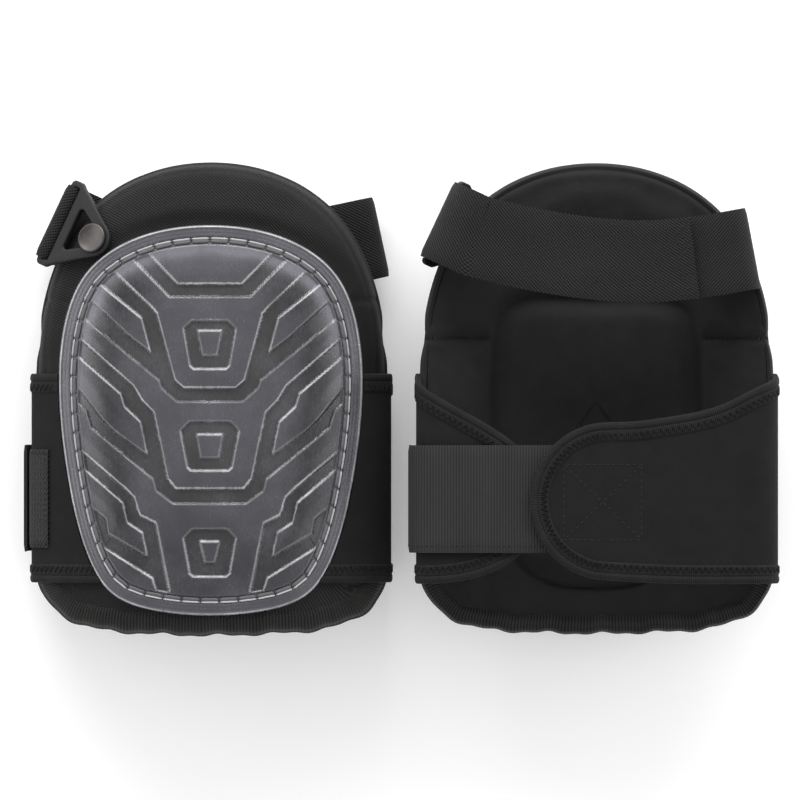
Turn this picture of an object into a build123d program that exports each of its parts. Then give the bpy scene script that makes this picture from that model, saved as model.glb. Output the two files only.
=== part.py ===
"""A pair of strap-on gel knee pads, lying side by side: the right-leg pad cap up, the left-leg pad cap down.

One pad is modelled in its own frame: +X across the knee, +Y up the leg, +Z out of the cap, with Z = 0 at the
straps that cross the back of the leg. The other pad is its mirror image. The pair's origin is at the middle
of its footprint, on the surface that it lies on.
"""

import os
from math import asin, atan2, cos, degrees, hypot, radians, sin, sqrt, tan

from build123d import *

# The pair
PAD_SPACING = 180.0
PAD_HEIGHT = 72.0

# The crowned front: a cylinder about an axis along Y, that rolls off towards both ends
CAP_RADIUS = 120.0
FRONT_AXIS_Z = PAD_HEIGHT - CAP_RADIUS
ROLL_TOP_START = 20.0
ROLL_TOP_RADIUS = 300.0
ROLL_TOP_SWEEP = 22.0
ROLL_FOOT_START = -85.0
ROLL_FOOT_RADIUS = 90.0
ROLL_FOOT_SWEEP = 28.0

# The leg side: a flatter cylinder with the same roll-off
LEG_RADIUS = 110.0
LEG_CROWN_Z = 45.0
LEG_AXIS_Z = LEG_CROWN_Z - LEG_RADIUS

# Layers, as depths under the cap's outer surface
CAP_THICKNESS = 2.5
COVER_THICKNESS = 1.2
COVER_DEPTH = CAP_THICKNESS
FOAM_DEPTH = COVER_DEPTH + COVER_THICKNESS
LINER_THICKNESS = 3.0
GEL_THICKNESS = 8.0
GEL_SIZE = (92.0, 116.0)
GEL_CENTRE_Y = -8.0
GEL_CORNER = 30.0

# Cap seam
SEAM_INSET = 5.6
SEAM_WIDTH = 0.9
SEAM_PROUD = 0.4

# Bottom binding
TAPE_THICKNESS = 0.8
TAPE_WIDTH = 8.0
TAPE_TOP_Y = -86.0

# Wings
WING_TOP_Y = 12.0
WING_FOOT_Y = -85.0
WING_OUTER_X = 84.2
WING_DEPTH = 0.3
WING_SPLIT_Z = 14.0
WING_GAP = 0.3
WING_CAP_GAP = 0.6
WING_FRONT_X = 46.0
PAST_SIDE = 40.0
BINDING_WIDTH = 8.4
BINDING_PROUD = 0.3
FLAP_THICKNESS = 2.7
FLAP_OUTER_Z = BINDING_PROUD
FLAP_TIP_X = -31.0
FLAP_MID_Y = -47.0
FLAP_TIP_RADIUS = 36.5
FLAP_CORNER = 11.0
FLAP_BLANK_TOP_Y = 20.0
FLAP_BLANK_X = -60.0
SMALL_FLAP_OUTER_Z = 5.2
SMALL_FLAP_TIP_X = -33.0
SMALL_FLAP_CORNER = 6.5

# Lower strap: 50 mm elastic
LOWER_STRAP_WIDTH = 50.0
LOWER_STRAP_THICKNESS = 1.6
LOWER_STRAP_Y = -46.0
LOWER_STRAP_OUTER_Z = FLAP_OUTER_Z + FLAP_THICKNESS
LOWER_STRAP_START_X = 17.0
LOWER_STRAP_OUTER_X = -87.9
LOWER_STRAP_CORNER = 9.5
LOWER_STRAP_SPLIT_Z = 13.0
LOWER_STRAP_END_Z = 33.0
CROSS_BOX_HALF_X = 18.0
CROSS_BOX_HALF_Y = 17.5
CROSS_BOX_X = 2.4
THREAD_WIDTH = 0.9

# Hook patch on the small wing
PATCH_THICKNESS = 1.1
PATCH_WIDTH = 46.0
PATCH_FOOT_Z = 17.0
PATCH_FRONT_X = 75.5

# Upper strap: 38 mm elastic that crosses the back in a shallow arc
UPPER_STRAP_WIDTH = 38.0
UPPER_STRAP_THICKNESS = 1.6
UPPER_STRAP_ARC_RADIUS = 297.0
UPPER_STRAP_ARC_X = 8.0
UPPER_STRAP_MID_Y = 68.4
UPPER_STRAP_ARC_Y = UPPER_STRAP_MID_Y + UPPER_STRAP_ARC_RADIUS
UPPER_STRAP_OUTER_Z = 2.5
LOOP_WIDTH = 36.4
TAIL_END_X = 45.0
TAIL_GAP = 0.7
HOOK_TAB_THICKNESS = 0.5
HOOK_TAB_LENGTH = 30.0
ANCHOR_FOLD_X = 77.0
ANCHOR_FOLD_RADIUS = 8.0
ANCHOR_LEG = 26.0
ANCHOR_RIM_Z = 8.0
INNER_HEEL = 12.0
OUTER_HEEL = 16.0
HEEL_REACH = 4.0
RETURN_REACH = 10.0
FLAT_OVERLAP = 1.5
STRAP_WALL_TOP_DROP = 9.4
LOOP_LEG = 6.0

# Stud and buckle
STUD_X = -53.2
STUD_Y = 74.6
STUD_HEAD_RADIUS = 6.9
STUD_HEAD_THICKNESS = 1.6
STUD_POST_RADIUS = 3.42
STUD_HOLE_RADIUS = 3.6
STUD_WASHER_RADIUS = 7.6
STUD_WASHER_THICKNESS = 0.8
BUCKLE_SLANT = 25.0
BUCKLE_THICKNESS = 3.4
BUCKLE_LIFT = 0.6
BUCKLE_APEX_RADIUS = 8.5
BUCKLE_PIVOT_RADIUS = 3.5
BUCKLE_BAR_DISTANCE = 21.4
BUCKLE_BAR_HALF = 1.1
BUCKLE_FOOT_U = 15.4
BUCKLE_FOOT_V = 19.6
BUCKLE_BASE_U = 23.0
BUCKLE_BASE_V = 21.4
BUCKLE_CORNER_RADIUS = 2.2
BUCKLE_WINDOW_U = 11.2
BUCKLE_WINDOW_V = 8.6
BUCKLE_WINDOW_CORNER = 1.5
BUCKLE_SLOT_WIDTH = 2.6
BUCKLE_SLOT_HALF = 18.9
BAR_CLEARANCE = 0.95
HEAD_CLEARANCE = 0.3

TALL = 200.0


def roll_drop(y):
    """How far the crowned surface has rolled off at a height y up the leg."""
    run = max(0.0, y - ROLL_TOP_START)
    return ROLL_TOP_RADIUS - sqrt(ROLL_TOP_RADIUS**2 - run**2)


def crowned(axis_z, radius, depth=0.0):
    """Everything under a crowned surface, sunk by depth: a profile below the axis, turned about it."""
    keel_z = axis_z - radius + depth
    with BuildPart() as solid:
        with BuildSketch(Plane.YZ):
            with BuildLine():
                top = JernArc((ROLL_TOP_START, keel_z), (1, 0), ROLL_TOP_RADIUS - depth, ROLL_TOP_SWEEP)
                Line((ROLL_FOOT_START, keel_z), (ROLL_TOP_START, keel_z))
                foot_radius = ROLL_FOOT_RADIUS - depth
                foot = JernArc((ROLL_FOOT_START, keel_z), (-1, 0), foot_radius, -ROLL_FOOT_SWEEP)
                Polyline(top @ 1, ((top @ 1).X, axis_z), ((foot @ 1).X, axis_z), foot @ 1)
            make_face()
        revolve(axis=Axis((0, 0, axis_z), (0, 1, 0)))
    return solid.part


def under_front(depth):
    """Everything under the cap's outer surface, sunk by depth."""
    return crowned(FRONT_AXIS_Z, CAP_RADIUS, depth)


def under_leg_side(depth):
    """Everything under the leg-side surface, sunk by depth, or raised where depth is negative."""
    return crowned(LEG_AXIS_Z, LEG_RADIUS, depth)


def prism(outline, low=-TALL / 2, height=TALL):
    """An outline in XY as an upright solid."""
    with BuildPart() as solid:
        with BuildSketch(Plane.XY.offset(low)):
            add(outline)
        extrude(amount=height)
    return solid.part


def block(low, high):
    """A box between two corners."""
    size = [h - l for l, h in zip(low, high)]
    middle = [(l + h) / 2 for l, h in zip(low, high)]
    with BuildPart() as solid:
        with Locations(tuple(middle)):
            Box(*size)
    return solid.part


def grown(points, amount):
    """The right half of an outline, from its top to its foot, with each point moved out square to it."""
    moved = []
    for i, (x, y) in enumerate(points):
        if i in (0, len(points) - 1):
            square = Vector(0, 1 if i == 0 else -1, 0)
        else:
            (x_before, y_before), (x_after, y_after) = points[i - 1], points[i + 1]
            square = Vector(y_before - y_after, x_after - x_before, 0).normalized()
        moved.append((x + amount * square.X, y + amount * square.Y))
    return moved


def pad_outline(grow=0.0):
    """The padded body seen from the front: a domed top, straight sides and a rounded foot."""
    dome = [(0, 109.4), (30, 104.2), (55, 88.5), (71, 64), (78.5, 36), (80.4, 8)]
    foot = [(80.4, -74), (74.5, -95), (56, -105), (30, -107.8), (0, -108.6)]
    points = grown(dome + foot, grow)
    with BuildSketch() as outline:
        with BuildLine():
            Spline(*points[: len(dome)], tangents=((1, 0), (0, -1)))
            Line(points[len(dome) - 1], points[len(dome)])
            Spline(*points[len(dome) :], tangents=((0, -1), (-1, 0)))
            Line(points[-1], points[0])
        make_face()
        mirror(about=Plane.YZ)
    return outline.sketch


def cap_outline(grow=0.0):
    """The cap seen from the front: an egg shape, widest in its upper half, with a blunt foot."""
    egg = [
        (0, 81.4),
        (34, 75.8),
        (58, 59.5),
        (69.6, 29),
        (70.9, 0),
        (66.5, -38),
        (58.4, -70),
        (46, -90),
        (24, -98.3),
        (0, -100.2),
    ]
    points = grown(egg, grow)
    with BuildSketch() as outline:
        with BuildLine():
            Spline(*points, tangents=((1, 0), (-1, 0)))
            Line(points[-1], points[0])
        make_face()
        mirror(about=Plane.YZ)
    return outline.sketch


def rounded_triangle(apex_radius, corner_u, corner_v, corner_radius):
    """A triangle whose sides touch a circle at the origin and a smaller one at each of two corners."""
    spread = atan2(corner_v, corner_u) - asin((apex_radius - corner_radius) / hypot(corner_u, corner_v))
    base_u = corner_u + corner_radius
    base_v = apex_radius / cos(spread) + base_u * tan(spread)
    with BuildSketch() as triangle:
        with BuildLine():
            Polyline((-apex_radius / sin(spread), 0), (base_u, -base_v), (base_u, base_v), close=True)
        make_face()
        fillet(triangle.vertices().group_by(Axis.X)[-1], corner_radius)
        fillet(triangle.vertices().sort_by(Axis.X)[0], apex_radius)
    return triangle.sketch


def buckle_outline():
    """The buckle's plate: two sides that touch the apex circle, and two blunt feet at the bar's ends."""
    reach = hypot(BUCKLE_FOOT_U, BUCKLE_FOOT_V)
    spread = atan2(BUCKLE_FOOT_V, BUCKLE_FOOT_U) - asin(BUCKLE_APEX_RADIUS / reach)
    with BuildSketch() as outline:
        with BuildLine():
            Polyline(
                (-BUCKLE_APEX_RADIUS / sin(spread), 0),
                (BUCKLE_FOOT_U, -BUCKLE_FOOT_V),
                (BUCKLE_FOOT_U + BUCKLE_CORNER_RADIUS, -BUCKLE_BASE_V),
                (BUCKLE_BASE_U, -BUCKLE_BASE_V),
                (BUCKLE_BASE_U, BUCKLE_BASE_V),
                (BUCKLE_FOOT_U + BUCKLE_CORNER_RADIUS, BUCKLE_BASE_V),
                (BUCKLE_FOOT_U, BUCKLE_FOOT_V),
                close=True,
            )
        make_face()
        base = outline.vertices().group_by(Axis.X)[1:]
        fillet([corner for group in base for corner in group], BUCKLE_CORNER_RADIUS)
        fillet(outline.vertices().sort_by(Axis.X)[0], BUCKLE_APEX_RADIUS)
    return outline.sketch


def big_flap_outline(grow=0.0):
    """The big wing's flap seen from behind: slanted top edge, round end; open past the side of the pad."""
    tip_centre_x = FLAP_TIP_X + FLAP_TIP_RADIUS
    past_x = WING_OUTER_X + PAST_SIDE
    with BuildSketch() as outline:
        with BuildLine():
            high = (tip_centre_x, FLAP_MID_Y + FLAP_TIP_RADIUS)
            low = (tip_centre_x, FLAP_MID_Y - FLAP_TIP_RADIUS)
            ThreePointArc(low, (FLAP_TIP_X, FLAP_MID_Y), high)
            ThreePointArc(high, (48, -6.0), (WING_OUTER_X, 6.0))
            Polyline((WING_OUTER_X, 6.0), (past_x, 12.0), (past_x, WING_FOOT_Y), (40, WING_FOOT_Y), low)
        make_face()
        if grow:
            offset(amount=grow)
    return outline.sketch


def small_flap_outline(grow=0.0):
    """The small wing's flap seen from behind: it narrows towards its tip; open past the side of the pad."""
    past_x = -WING_OUTER_X - PAST_SIDE
    with BuildSketch() as outline:
        with BuildLine():
            ThreePointArc((-WING_OUTER_X, 4.0), (-62, -6.0), (-42, -18.0))
            Line((-42, -18.0), (SMALL_FLAP_TIP_X, -25.0))
            Line((SMALL_FLAP_TIP_X, -25.0), (SMALL_FLAP_TIP_X, -70.0))
            ThreePointArc((SMALL_FLAP_TIP_X, -70.0), (-54, -82.5), (-WING_OUTER_X, WING_FOOT_Y))
            Line((-WING_OUTER_X, WING_FOOT_Y), (past_x, WING_FOOT_Y))
            Polyline((past_x, WING_FOOT_Y), (past_x, 10.0), (-WING_OUTER_X, 4.0))
        make_face()
        if grow:
            offset(amount=grow)
    return outline.sketch


def side_shell(proud, thickness, foot_z, front_x, high_y, low_y):
    """A shell over the front and the +X side of the pad, open towards the leg, of one section along Y."""
    outer_x = WING_OUTER_X + proud
    inner_x = outer_x - thickness
    outer_r = CAP_RADIUS - WING_DEPTH + proud
    inner_r = outer_r - thickness
    outer_start, outer_corner, inner_start, inner_corner = (
        (x, FRONT_AXIS_Z + sqrt(r**2 - x**2))
        for x, r in ((front_x, outer_r), (outer_x, outer_r), (front_x, inner_r), (inner_x, inner_r))
    )
    with BuildPart() as shell:
        with BuildSketch(Plane.XZ.offset(-high_y)):
            with BuildLine():
                RadiusArc(outer_start, outer_corner, outer_r)
                Polyline(outer_corner, (outer_x, foot_z), (inner_x, foot_z), inner_corner)
                RadiusArc(inner_start, inner_corner, inner_r)
                Line(outer_start, inner_start)
            make_face()
        extrude(amount=high_y - low_y)
    return shell.part


def wrap_shell(outer_x, outer_z, thickness, corner, top_z, tip_x, high_y, low_y):
    """A strip down the side and round the corner to the back: an L in XZ with a round heel, along Y."""
    side = 1 if outer_x > tip_x else -1
    inner_x = outer_x - side * thickness
    heel_x = outer_x - side * corner
    heel_z = outer_z + corner
    middle = corner * (1 - sqrt(0.5))
    inner = corner - thickness
    inner_middle = thickness + inner * (1 - sqrt(0.5))
    with BuildPart() as shell:
        with BuildSketch(Plane.XZ.offset(-high_y)):
            with BuildLine():
                Line((outer_x, top_z), (outer_x, heel_z))
                ThreePointArc(
                    (outer_x, heel_z), (outer_x - side * middle, outer_z + middle), (heel_x, outer_z)
                )
                Polyline((heel_x, outer_z), (tip_x, outer_z), (tip_x, outer_z + thickness))
                Line((tip_x, outer_z + thickness), (heel_x, outer_z + thickness))
                ThreePointArc(
                    (heel_x, outer_z + thickness),
                    (outer_x - side * inner_middle, outer_z + inner_middle),
                    (inner_x, heel_z),
                )
                Polyline((inner_x, heel_z), (inner_x, top_z), (outer_x, top_z))
            make_face()
        extrude(amount=high_y - low_y)
    return shell.part


def strap_y(x):
    """Height of the upper strap's centre line where it crosses the back at x."""
    return UPPER_STRAP_ARC_Y - sqrt(UPPER_STRAP_ARC_RADIUS**2 - (x - UPPER_STRAP_ARC_X) ** 2)


def strap_slant(x):
    """Angle, in degrees, that the upper strap's centre line makes with X at x."""
    return degrees(asin((x - UPPER_STRAP_ARC_X) / UPPER_STRAP_ARC_RADIUS))


def strap_end_plane(x):
    """The upright plane across the upper strap at x; its own x runs along the strap, to its end."""
    slant = radians(strap_slant(x))
    way = 1 if x > UPPER_STRAP_ARC_X else -1
    along = Vector(way * cos(slant), way * sin(slant), 0)
    return Plane(origin=(x, strap_y(x), 0), x_dir=along, z_dir=along.cross(Vector(0, 0, 1)))


def strap_band(outer_z, thickness, x_low, x_high, width=UPPER_STRAP_WIDTH):
    """A flat stretch of the upper strap between two cuts square to it."""
    with BuildPart() as band:
        with BuildSketch(Plane.XY.offset(outer_z)):
            with Locations((UPPER_STRAP_ARC_X, UPPER_STRAP_ARC_Y)):
                Circle(UPPER_STRAP_ARC_RADIUS + width / 2)
                Circle(UPPER_STRAP_ARC_RADIUS - width / 2, mode=Mode.SUBTRACT)
            with BuildLine():
                reach = UPPER_STRAP_ARC_RADIUS * 1.2
                angles = [radians(strap_slant(x)) for x in (x_low, x_high)]
                rays = [
                    (UPPER_STRAP_ARC_X + reach * sin(a), UPPER_STRAP_ARC_Y - reach * cos(a)) for a in angles
                ]
                Polyline((UPPER_STRAP_ARC_X, UPPER_STRAP_ARC_Y), rays[0], rays[1], close=True)
            make_face(mode=Mode.INTERSECT)
        extrude(amount=thickness)
    return band.part


# The stud stands square to the cover, leaning out to the side by STUD_LEAN.
stud_surface_radius = CAP_RADIUS - COVER_DEPTH - roll_drop(STUD_Y)
STUD_LEAN = degrees(asin(-STUD_X / stud_surface_radius))
stud_base_z = FRONT_AXIS_Z + sqrt(stud_surface_radius**2 - STUD_X**2)
lean = radians(STUD_LEAN)
slant = radians(BUCKLE_SLANT)
upward = Vector(0, 0, 1)
outward = Vector(-cos(slant), sin(slant), 0)
bar_along = Vector(sin(slant), cos(slant), 0)
to_bar = outward * cos(lean) - upward * sin(lean)
stud_normal = outward * sin(lean) + upward * cos(lean)
stud_base = Vector(STUD_X, STUD_Y, stud_base_z)
stud_plane = Plane(origin=stud_base, x_dir=to_bar, z_dir=stud_normal)
buckle_top = BUCKLE_LIFT + BUCKLE_THICKNESS
bar_centre = stud_base + to_bar * BUCKLE_BAR_DISTANCE + stud_normal * (BUCKLE_LIFT + BUCKLE_THICKNESS / 2)

# ---------------------------------------------------------------- cap
with BuildPart() as cap:
    add(prism(cap_outline()))
    add(under_front(0.0), mode=Mode.INTERSECT)
    add(under_front(CAP_THICKNESS), mode=Mode.SUBTRACT)
    split(bisect_by=Plane.XY, keep=Keep.TOP)

# ---------------------------------------------------------------- cap_stitching
with BuildPart() as cap_stitching:
    add(prism(cap_outline(-SEAM_INSET)))
    add(prism(cap_outline(-SEAM_INSET - SEAM_WIDTH)), mode=Mode.SUBTRACT)
    add(under_front(-SEAM_PROUD), mode=Mode.INTERSECT)
    add(under_front(0.0), mode=Mode.SUBTRACT)
    split(bisect_by=Plane.XY, keep=Keep.TOP)

# ---------------------------------------------------------------- stud
with BuildPart() as stud_head:
    with BuildSketch(stud_plane.offset(buckle_top + HEAD_CLEARANCE)):
        Circle(STUD_HEAD_RADIUS)
    extrude(amount=STUD_HEAD_THICKNESS)
    chamfer(stud_head.faces().sort_by(Axis(stud_base, stud_normal))[-1].edges(), 0.4)

with BuildPart() as stud_post:
    with BuildSketch(stud_plane.offset(-COVER_THICKNESS)):
        Circle(STUD_POST_RADIUS)
    extrude(amount=COVER_THICKNESS + buckle_top + HEAD_CLEARANCE)

with BuildPart() as stud_hole:
    with BuildSketch(stud_plane.offset(-COVER_THICKNESS - STUD_WASHER_THICKNESS)):
        Circle(STUD_HOLE_RADIUS)
    extrude(amount=COVER_THICKNESS + buckle_top)

with BuildPart() as stud_washer:
    with BuildSketch(stud_plane.offset(-COVER_THICKNESS - STUD_WASHER_THICKNESS - 1)):
        Circle(STUD_WASHER_RADIUS)
    extrude(amount=STUD_WASHER_THICKNESS + 1)

# ---------------------------------------------------------------- front_cover
with BuildPart() as front_cover:
    add(prism(pad_outline()))
    add(under_front(COVER_DEPTH), mode=Mode.INTERSECT)
    add(under_leg_side(0.0), mode=Mode.SUBTRACT)
    with BuildPart(mode=Mode.PRIVATE) as filling:
        add(prism(pad_outline(-COVER_THICKNESS)))
        add(under_front(FOAM_DEPTH), mode=Mode.INTERSECT)
    add(filling.part, mode=Mode.SUBTRACT)
    add(stud_hole.part, mode=Mode.SUBTRACT)
    add(stud_washer.part, mode=Mode.SUBTRACT)
    split(bisect_by=Plane.XY, keep=Keep.TOP)

# ---------------------------------------------------------------- gel_core
with BuildPart() as gel_core:
    with BuildSketch(Plane.XY):
        with Locations((0, GEL_CENTRE_Y)):
            RectangleRounded(*GEL_SIZE, GEL_CORNER)
    extrude(amount=TALL / 2)
    add(under_leg_side(-LINER_THICKNESS - GEL_THICKNESS), mode=Mode.INTERSECT)
    add(under_leg_side(-LINER_THICKNESS), mode=Mode.SUBTRACT)

# ---------------------------------------------------------------- foam_core
with BuildPart() as foam_core:
    add(prism(pad_outline(-COVER_THICKNESS)))
    add(under_front(FOAM_DEPTH), mode=Mode.INTERSECT)
    add(under_leg_side(-LINER_THICKNESS), mode=Mode.SUBTRACT)
    add(gel_core.part, mode=Mode.SUBTRACT)
    add(stud_hole.part, mode=Mode.SUBTRACT)
    add(stud_washer.part, mode=Mode.SUBTRACT)
    split(bisect_by=Plane.XY, keep=Keep.TOP)

# ---------------------------------------------------------------- liner
with BuildPart() as liner:
    add(prism(pad_outline(-COVER_THICKNESS)))
    add(under_leg_side(-LINER_THICKNESS), mode=Mode.INTERSECT)
    add(under_leg_side(0.0), mode=Mode.SUBTRACT)
    split(bisect_by=Plane.XY, keep=Keep.TOP)

# ---------------------------------------------------------------- bottom_binding
with BuildPart() as bottom_binding:
    add(prism(pad_outline(TAPE_THICKNESS)))
    add(under_front(COVER_DEPTH - TAPE_THICKNESS), mode=Mode.INTERSECT)
    add(under_leg_side(TAPE_THICKNESS), mode=Mode.SUBTRACT)
    add(prism(pad_outline(-TAPE_WIDTH)), mode=Mode.SUBTRACT)
    with BuildPart(mode=Mode.PRIVATE) as bound_edge:
        add(prism(pad_outline()))
        add(under_front(COVER_DEPTH), mode=Mode.INTERSECT)
        add(under_leg_side(0.0), mode=Mode.SUBTRACT)
    add(bound_edge.part, mode=Mode.SUBTRACT)
    add(prism(cap_outline(WING_CAP_GAP)), mode=Mode.SUBTRACT)
    split(bisect_by=Plane.XZ.offset(-TAPE_TOP_Y), keep=Keep.TOP)
    split(bisect_by=Plane.XY, keep=Keep.TOP)

# ---------------------------------------------------------------- wings on the pad
binding_high = (WING_TOP_Y, WING_TOP_Y - BINDING_WIDTH)
binding_low = (WING_FOOT_Y + BINDING_WIDTH, WING_FOOT_Y)
front_thickness = CAP_THICKNESS - WING_DEPTH
bound_thickness = front_thickness + BINDING_PROUD

with BuildPart() as big_wing:
    add(side_shell(0.0, front_thickness, WING_SPLIT_Z, WING_FRONT_X, binding_high[1], binding_low[0]))
    add(prism(cap_outline(WING_CAP_GAP)), mode=Mode.SUBTRACT)

with BuildPart() as big_wing_binding:
    for high_y, low_y in (binding_high, binding_low):
        add(side_shell(BINDING_PROUD, bound_thickness, WING_SPLIT_Z, WING_FRONT_X, high_y, low_y))
    add(prism(cap_outline(WING_CAP_GAP)), mode=Mode.SUBTRACT)

with BuildPart() as small_wing:
    add(mirror(big_wing.part, about=Plane.YZ))

with BuildPart() as small_wing_binding:
    add(mirror(big_wing_binding.part, about=Plane.YZ))

# ---------------------------------------------------------------- hook_patch
with BuildPart() as hook_patch:
    patch_high = LOWER_STRAP_Y + PATCH_WIDTH / 2
    patch = side_shell(
        PATCH_THICKNESS, PATCH_THICKNESS, PATCH_FOOT_Z, PATCH_FRONT_X, patch_high, patch_high - PATCH_WIDTH
    )
    add(mirror(patch, about=Plane.YZ))

# ---------------------------------------------------------------- big wing's flap
flap_top_z = WING_SPLIT_Z - WING_GAP
flap_span = (FLAP_BLANK_TOP_Y, WING_FOOT_Y - 1)

with BuildPart() as big_flap:
    add(
        wrap_shell(
            WING_OUTER_X, FLAP_OUTER_Z, FLAP_THICKNESS, FLAP_CORNER, flap_top_z, FLAP_BLANK_X, *flap_span
        )
    )
    add(prism(big_flap_outline(-BINDING_WIDTH)), mode=Mode.INTERSECT)

with BuildPart() as big_flap_binding:
    add(
        wrap_shell(
            WING_OUTER_X + BINDING_PROUD,
            FLAP_OUTER_Z - BINDING_PROUD,
            FLAP_THICKNESS + 2 * BINDING_PROUD,
            FLAP_CORNER + BINDING_PROUD,
            flap_top_z,
            FLAP_BLANK_X,
            *flap_span,
        )
    )
    add(prism(big_flap_outline()), mode=Mode.INTERSECT)
    add(prism(big_flap_outline(-BINDING_WIDTH)), mode=Mode.SUBTRACT)

# ---------------------------------------------------------------- lower strap
with BuildPart() as lower_strap:
    add(
        wrap_shell(
            LOWER_STRAP_OUTER_X,
            LOWER_STRAP_OUTER_Z,
            LOWER_STRAP_THICKNESS,
            LOWER_STRAP_CORNER,
            LOWER_STRAP_SPLIT_Z - WING_GAP,
            LOWER_STRAP_START_X,
            LOWER_STRAP_Y + LOWER_STRAP_WIDTH / 2,
            LOWER_STRAP_Y - LOWER_STRAP_WIDTH / 2,
        )
    )
    add(big_flap_binding.part, mode=Mode.SUBTRACT)

with BuildPart() as lower_strap_end:
    strap_low = (LOWER_STRAP_OUTER_X, LOWER_STRAP_Y - LOWER_STRAP_WIDTH / 2, LOWER_STRAP_SPLIT_Z)
    strap_high = (
        LOWER_STRAP_OUTER_X + LOWER_STRAP_THICKNESS,
        LOWER_STRAP_Y + LOWER_STRAP_WIDTH / 2,
        LOWER_STRAP_END_Z,
    )
    add(block(strap_low, strap_high))

# ---------------------------------------------------------------- flap_stitching
with BuildPart() as flap_stitching:
    with BuildSketch(Plane.XY):
        with Locations((CROSS_BOX_X, LOWER_STRAP_Y - 1)):
            Rectangle(2 * CROSS_BOX_HALF_X, 2 * CROSS_BOX_HALF_Y)
            Rectangle(
                2 * CROSS_BOX_HALF_X - 2 * THREAD_WIDTH,
                2 * CROSS_BOX_HALF_Y - 2 * THREAD_WIDTH,
                mode=Mode.SUBTRACT,
            )
            diagonal = sqrt(CROSS_BOX_HALF_X**2 + CROSS_BOX_HALF_Y**2)
            rise = degrees(asin(CROSS_BOX_HALF_Y / diagonal))
            for turn in (rise, -rise):
                Rectangle(2 * diagonal - 2 * THREAD_WIDTH, THREAD_WIDTH, rotation=turn)
    extrude(amount=FLAP_OUTER_Z)

# ---------------------------------------------------------------- small wing's flap
with BuildPart() as small_flap:
    add(
        wrap_shell(
            -WING_OUTER_X, SMALL_FLAP_OUTER_Z, FLAP_THICKNESS, SMALL_FLAP_CORNER, flap_top_z, 0.0, *flap_span
        )
    )
    add(prism(small_flap_outline(-BINDING_WIDTH)), mode=Mode.INTERSECT)

with BuildPart() as small_flap_binding:
    add(
        wrap_shell(
            -WING_OUTER_X - BINDING_PROUD,
            SMALL_FLAP_OUTER_Z - BINDING_PROUD,
            FLAP_THICKNESS + 2 * BINDING_PROUD,
            SMALL_FLAP_CORNER + BINDING_PROUD,
            flap_top_z,
            0.0,
            *flap_span,
        )
    )
    add(prism(small_flap_outline()), mode=Mode.INTERSECT)
    add(prism(small_flap_outline(-BINDING_WIDTH)), mode=Mode.SUBTRACT)

# ---------------------------------------------------------------- buckle
slot_u = BUCKLE_BAR_DISTANCE - BUCKLE_BAR_HALF - BUCKLE_SLOT_WIDTH / 2
window = rounded_triangle(BUCKLE_PIVOT_RADIUS, BUCKLE_WINDOW_U, BUCKLE_WINDOW_V, BUCKLE_WINDOW_CORNER)

with BuildPart() as buckle:
    with BuildSketch(stud_plane.offset(BUCKLE_LIFT)):
        add(buckle_outline())
        add(window, mode=Mode.SUBTRACT)
        with Locations((slot_u, 0)):
            RectangleRounded(BUCKLE_SLOT_WIDTH, 2 * BUCKLE_SLOT_HALF, 0.6, mode=Mode.SUBTRACT)
    extrude(amount=BUCKLE_THICKNESS)
    with BuildSketch(stud_plane.offset(BUCKLE_LIFT)):
        with Locations((BUCKLE_BAR_DISTANCE + BUCKLE_BAR_HALF + BUCKLE_CORNER_RADIUS, 0)):
            Rectangle(2 * BUCKLE_CORNER_RADIUS, LOOP_WIDTH + 1)
    extrude(amount=BUCKLE_THICKNESS, mode=Mode.SUBTRACT)

# ---------------------------------------------------------------- upper strap
# The strap goes round the bar, down the side in two layers and round two heels to the flat of the back.
loop_inner = BUCKLE_BAR_HALF + BAR_CLEARANCE
loop_outer = loop_inner + UPPER_STRAP_THICKNESS
bar_plane = Plane(origin=(bar_centre.X, bar_centre.Y, 0), x_dir=outward, z_dir=bar_along)
wall_top_z = bar_centre.Z - STRAP_WALL_TOP_DROP


def heel(wall_outer, wall_inner, low, high, corner, reach):
    """One layer of strap across the bar: a wall, a round heel and a short flat towards the middle."""
    thickness = high - low
    middle = corner * (1 - sqrt(0.5))
    inner = corner - thickness
    inner_middle = inner * (1 - sqrt(0.5))
    with BuildPart() as layer:
        with BuildSketch(bar_plane):
            with BuildLine():
                Line((wall_outer, wall_top_z), (wall_outer, low + corner))
                ThreePointArc(
                    (wall_outer, low + corner),
                    (wall_outer - middle, low + middle),
                    (wall_outer - corner, low),
                )
                Polyline(
                    (wall_outer - corner, low),
                    (wall_outer - corner - reach, low),
                    (wall_outer - corner - reach, high),
                    (wall_outer - corner, high),
                )
                ThreePointArc(
                    (wall_outer - corner, high),
                    (wall_inner - inner_middle, high + inner_middle),
                    (wall_inner, low + corner),
                )
                Polyline(
                    (wall_inner, low + corner),
                    (wall_inner, wall_top_z),
                    (wall_outer, wall_top_z),
                )
            make_face()
        extrude(amount=UPPER_STRAP_WIDTH / 2, both=True)
    return layer.part


tail_low = 0.0
tail_high = tail_low + UPPER_STRAP_THICKNESS
strap_low_z = UPPER_STRAP_OUTER_Z
strap_high_z = strap_low_z + UPPER_STRAP_THICKNESS
left_flat_x = bar_centre.X + loop_inner + INNER_HEEL + UPPER_STRAP_THICKNESS + HEEL_REACH
tail_flat_x = bar_centre.X - loop_outer + OUTER_HEEL + HEEL_REACH

with BuildPart() as upper_strap:
    add(heel(-loop_inner, -loop_outer, strap_low_z, strap_high_z, INNER_HEEL, HEEL_REACH))
    band_end_x = ANCHOR_FOLD_X - ANCHOR_LEG
    add(strap_band(strap_low_z, UPPER_STRAP_THICKNESS, left_flat_x - FLAT_OVERLAP, band_end_x))

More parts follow.
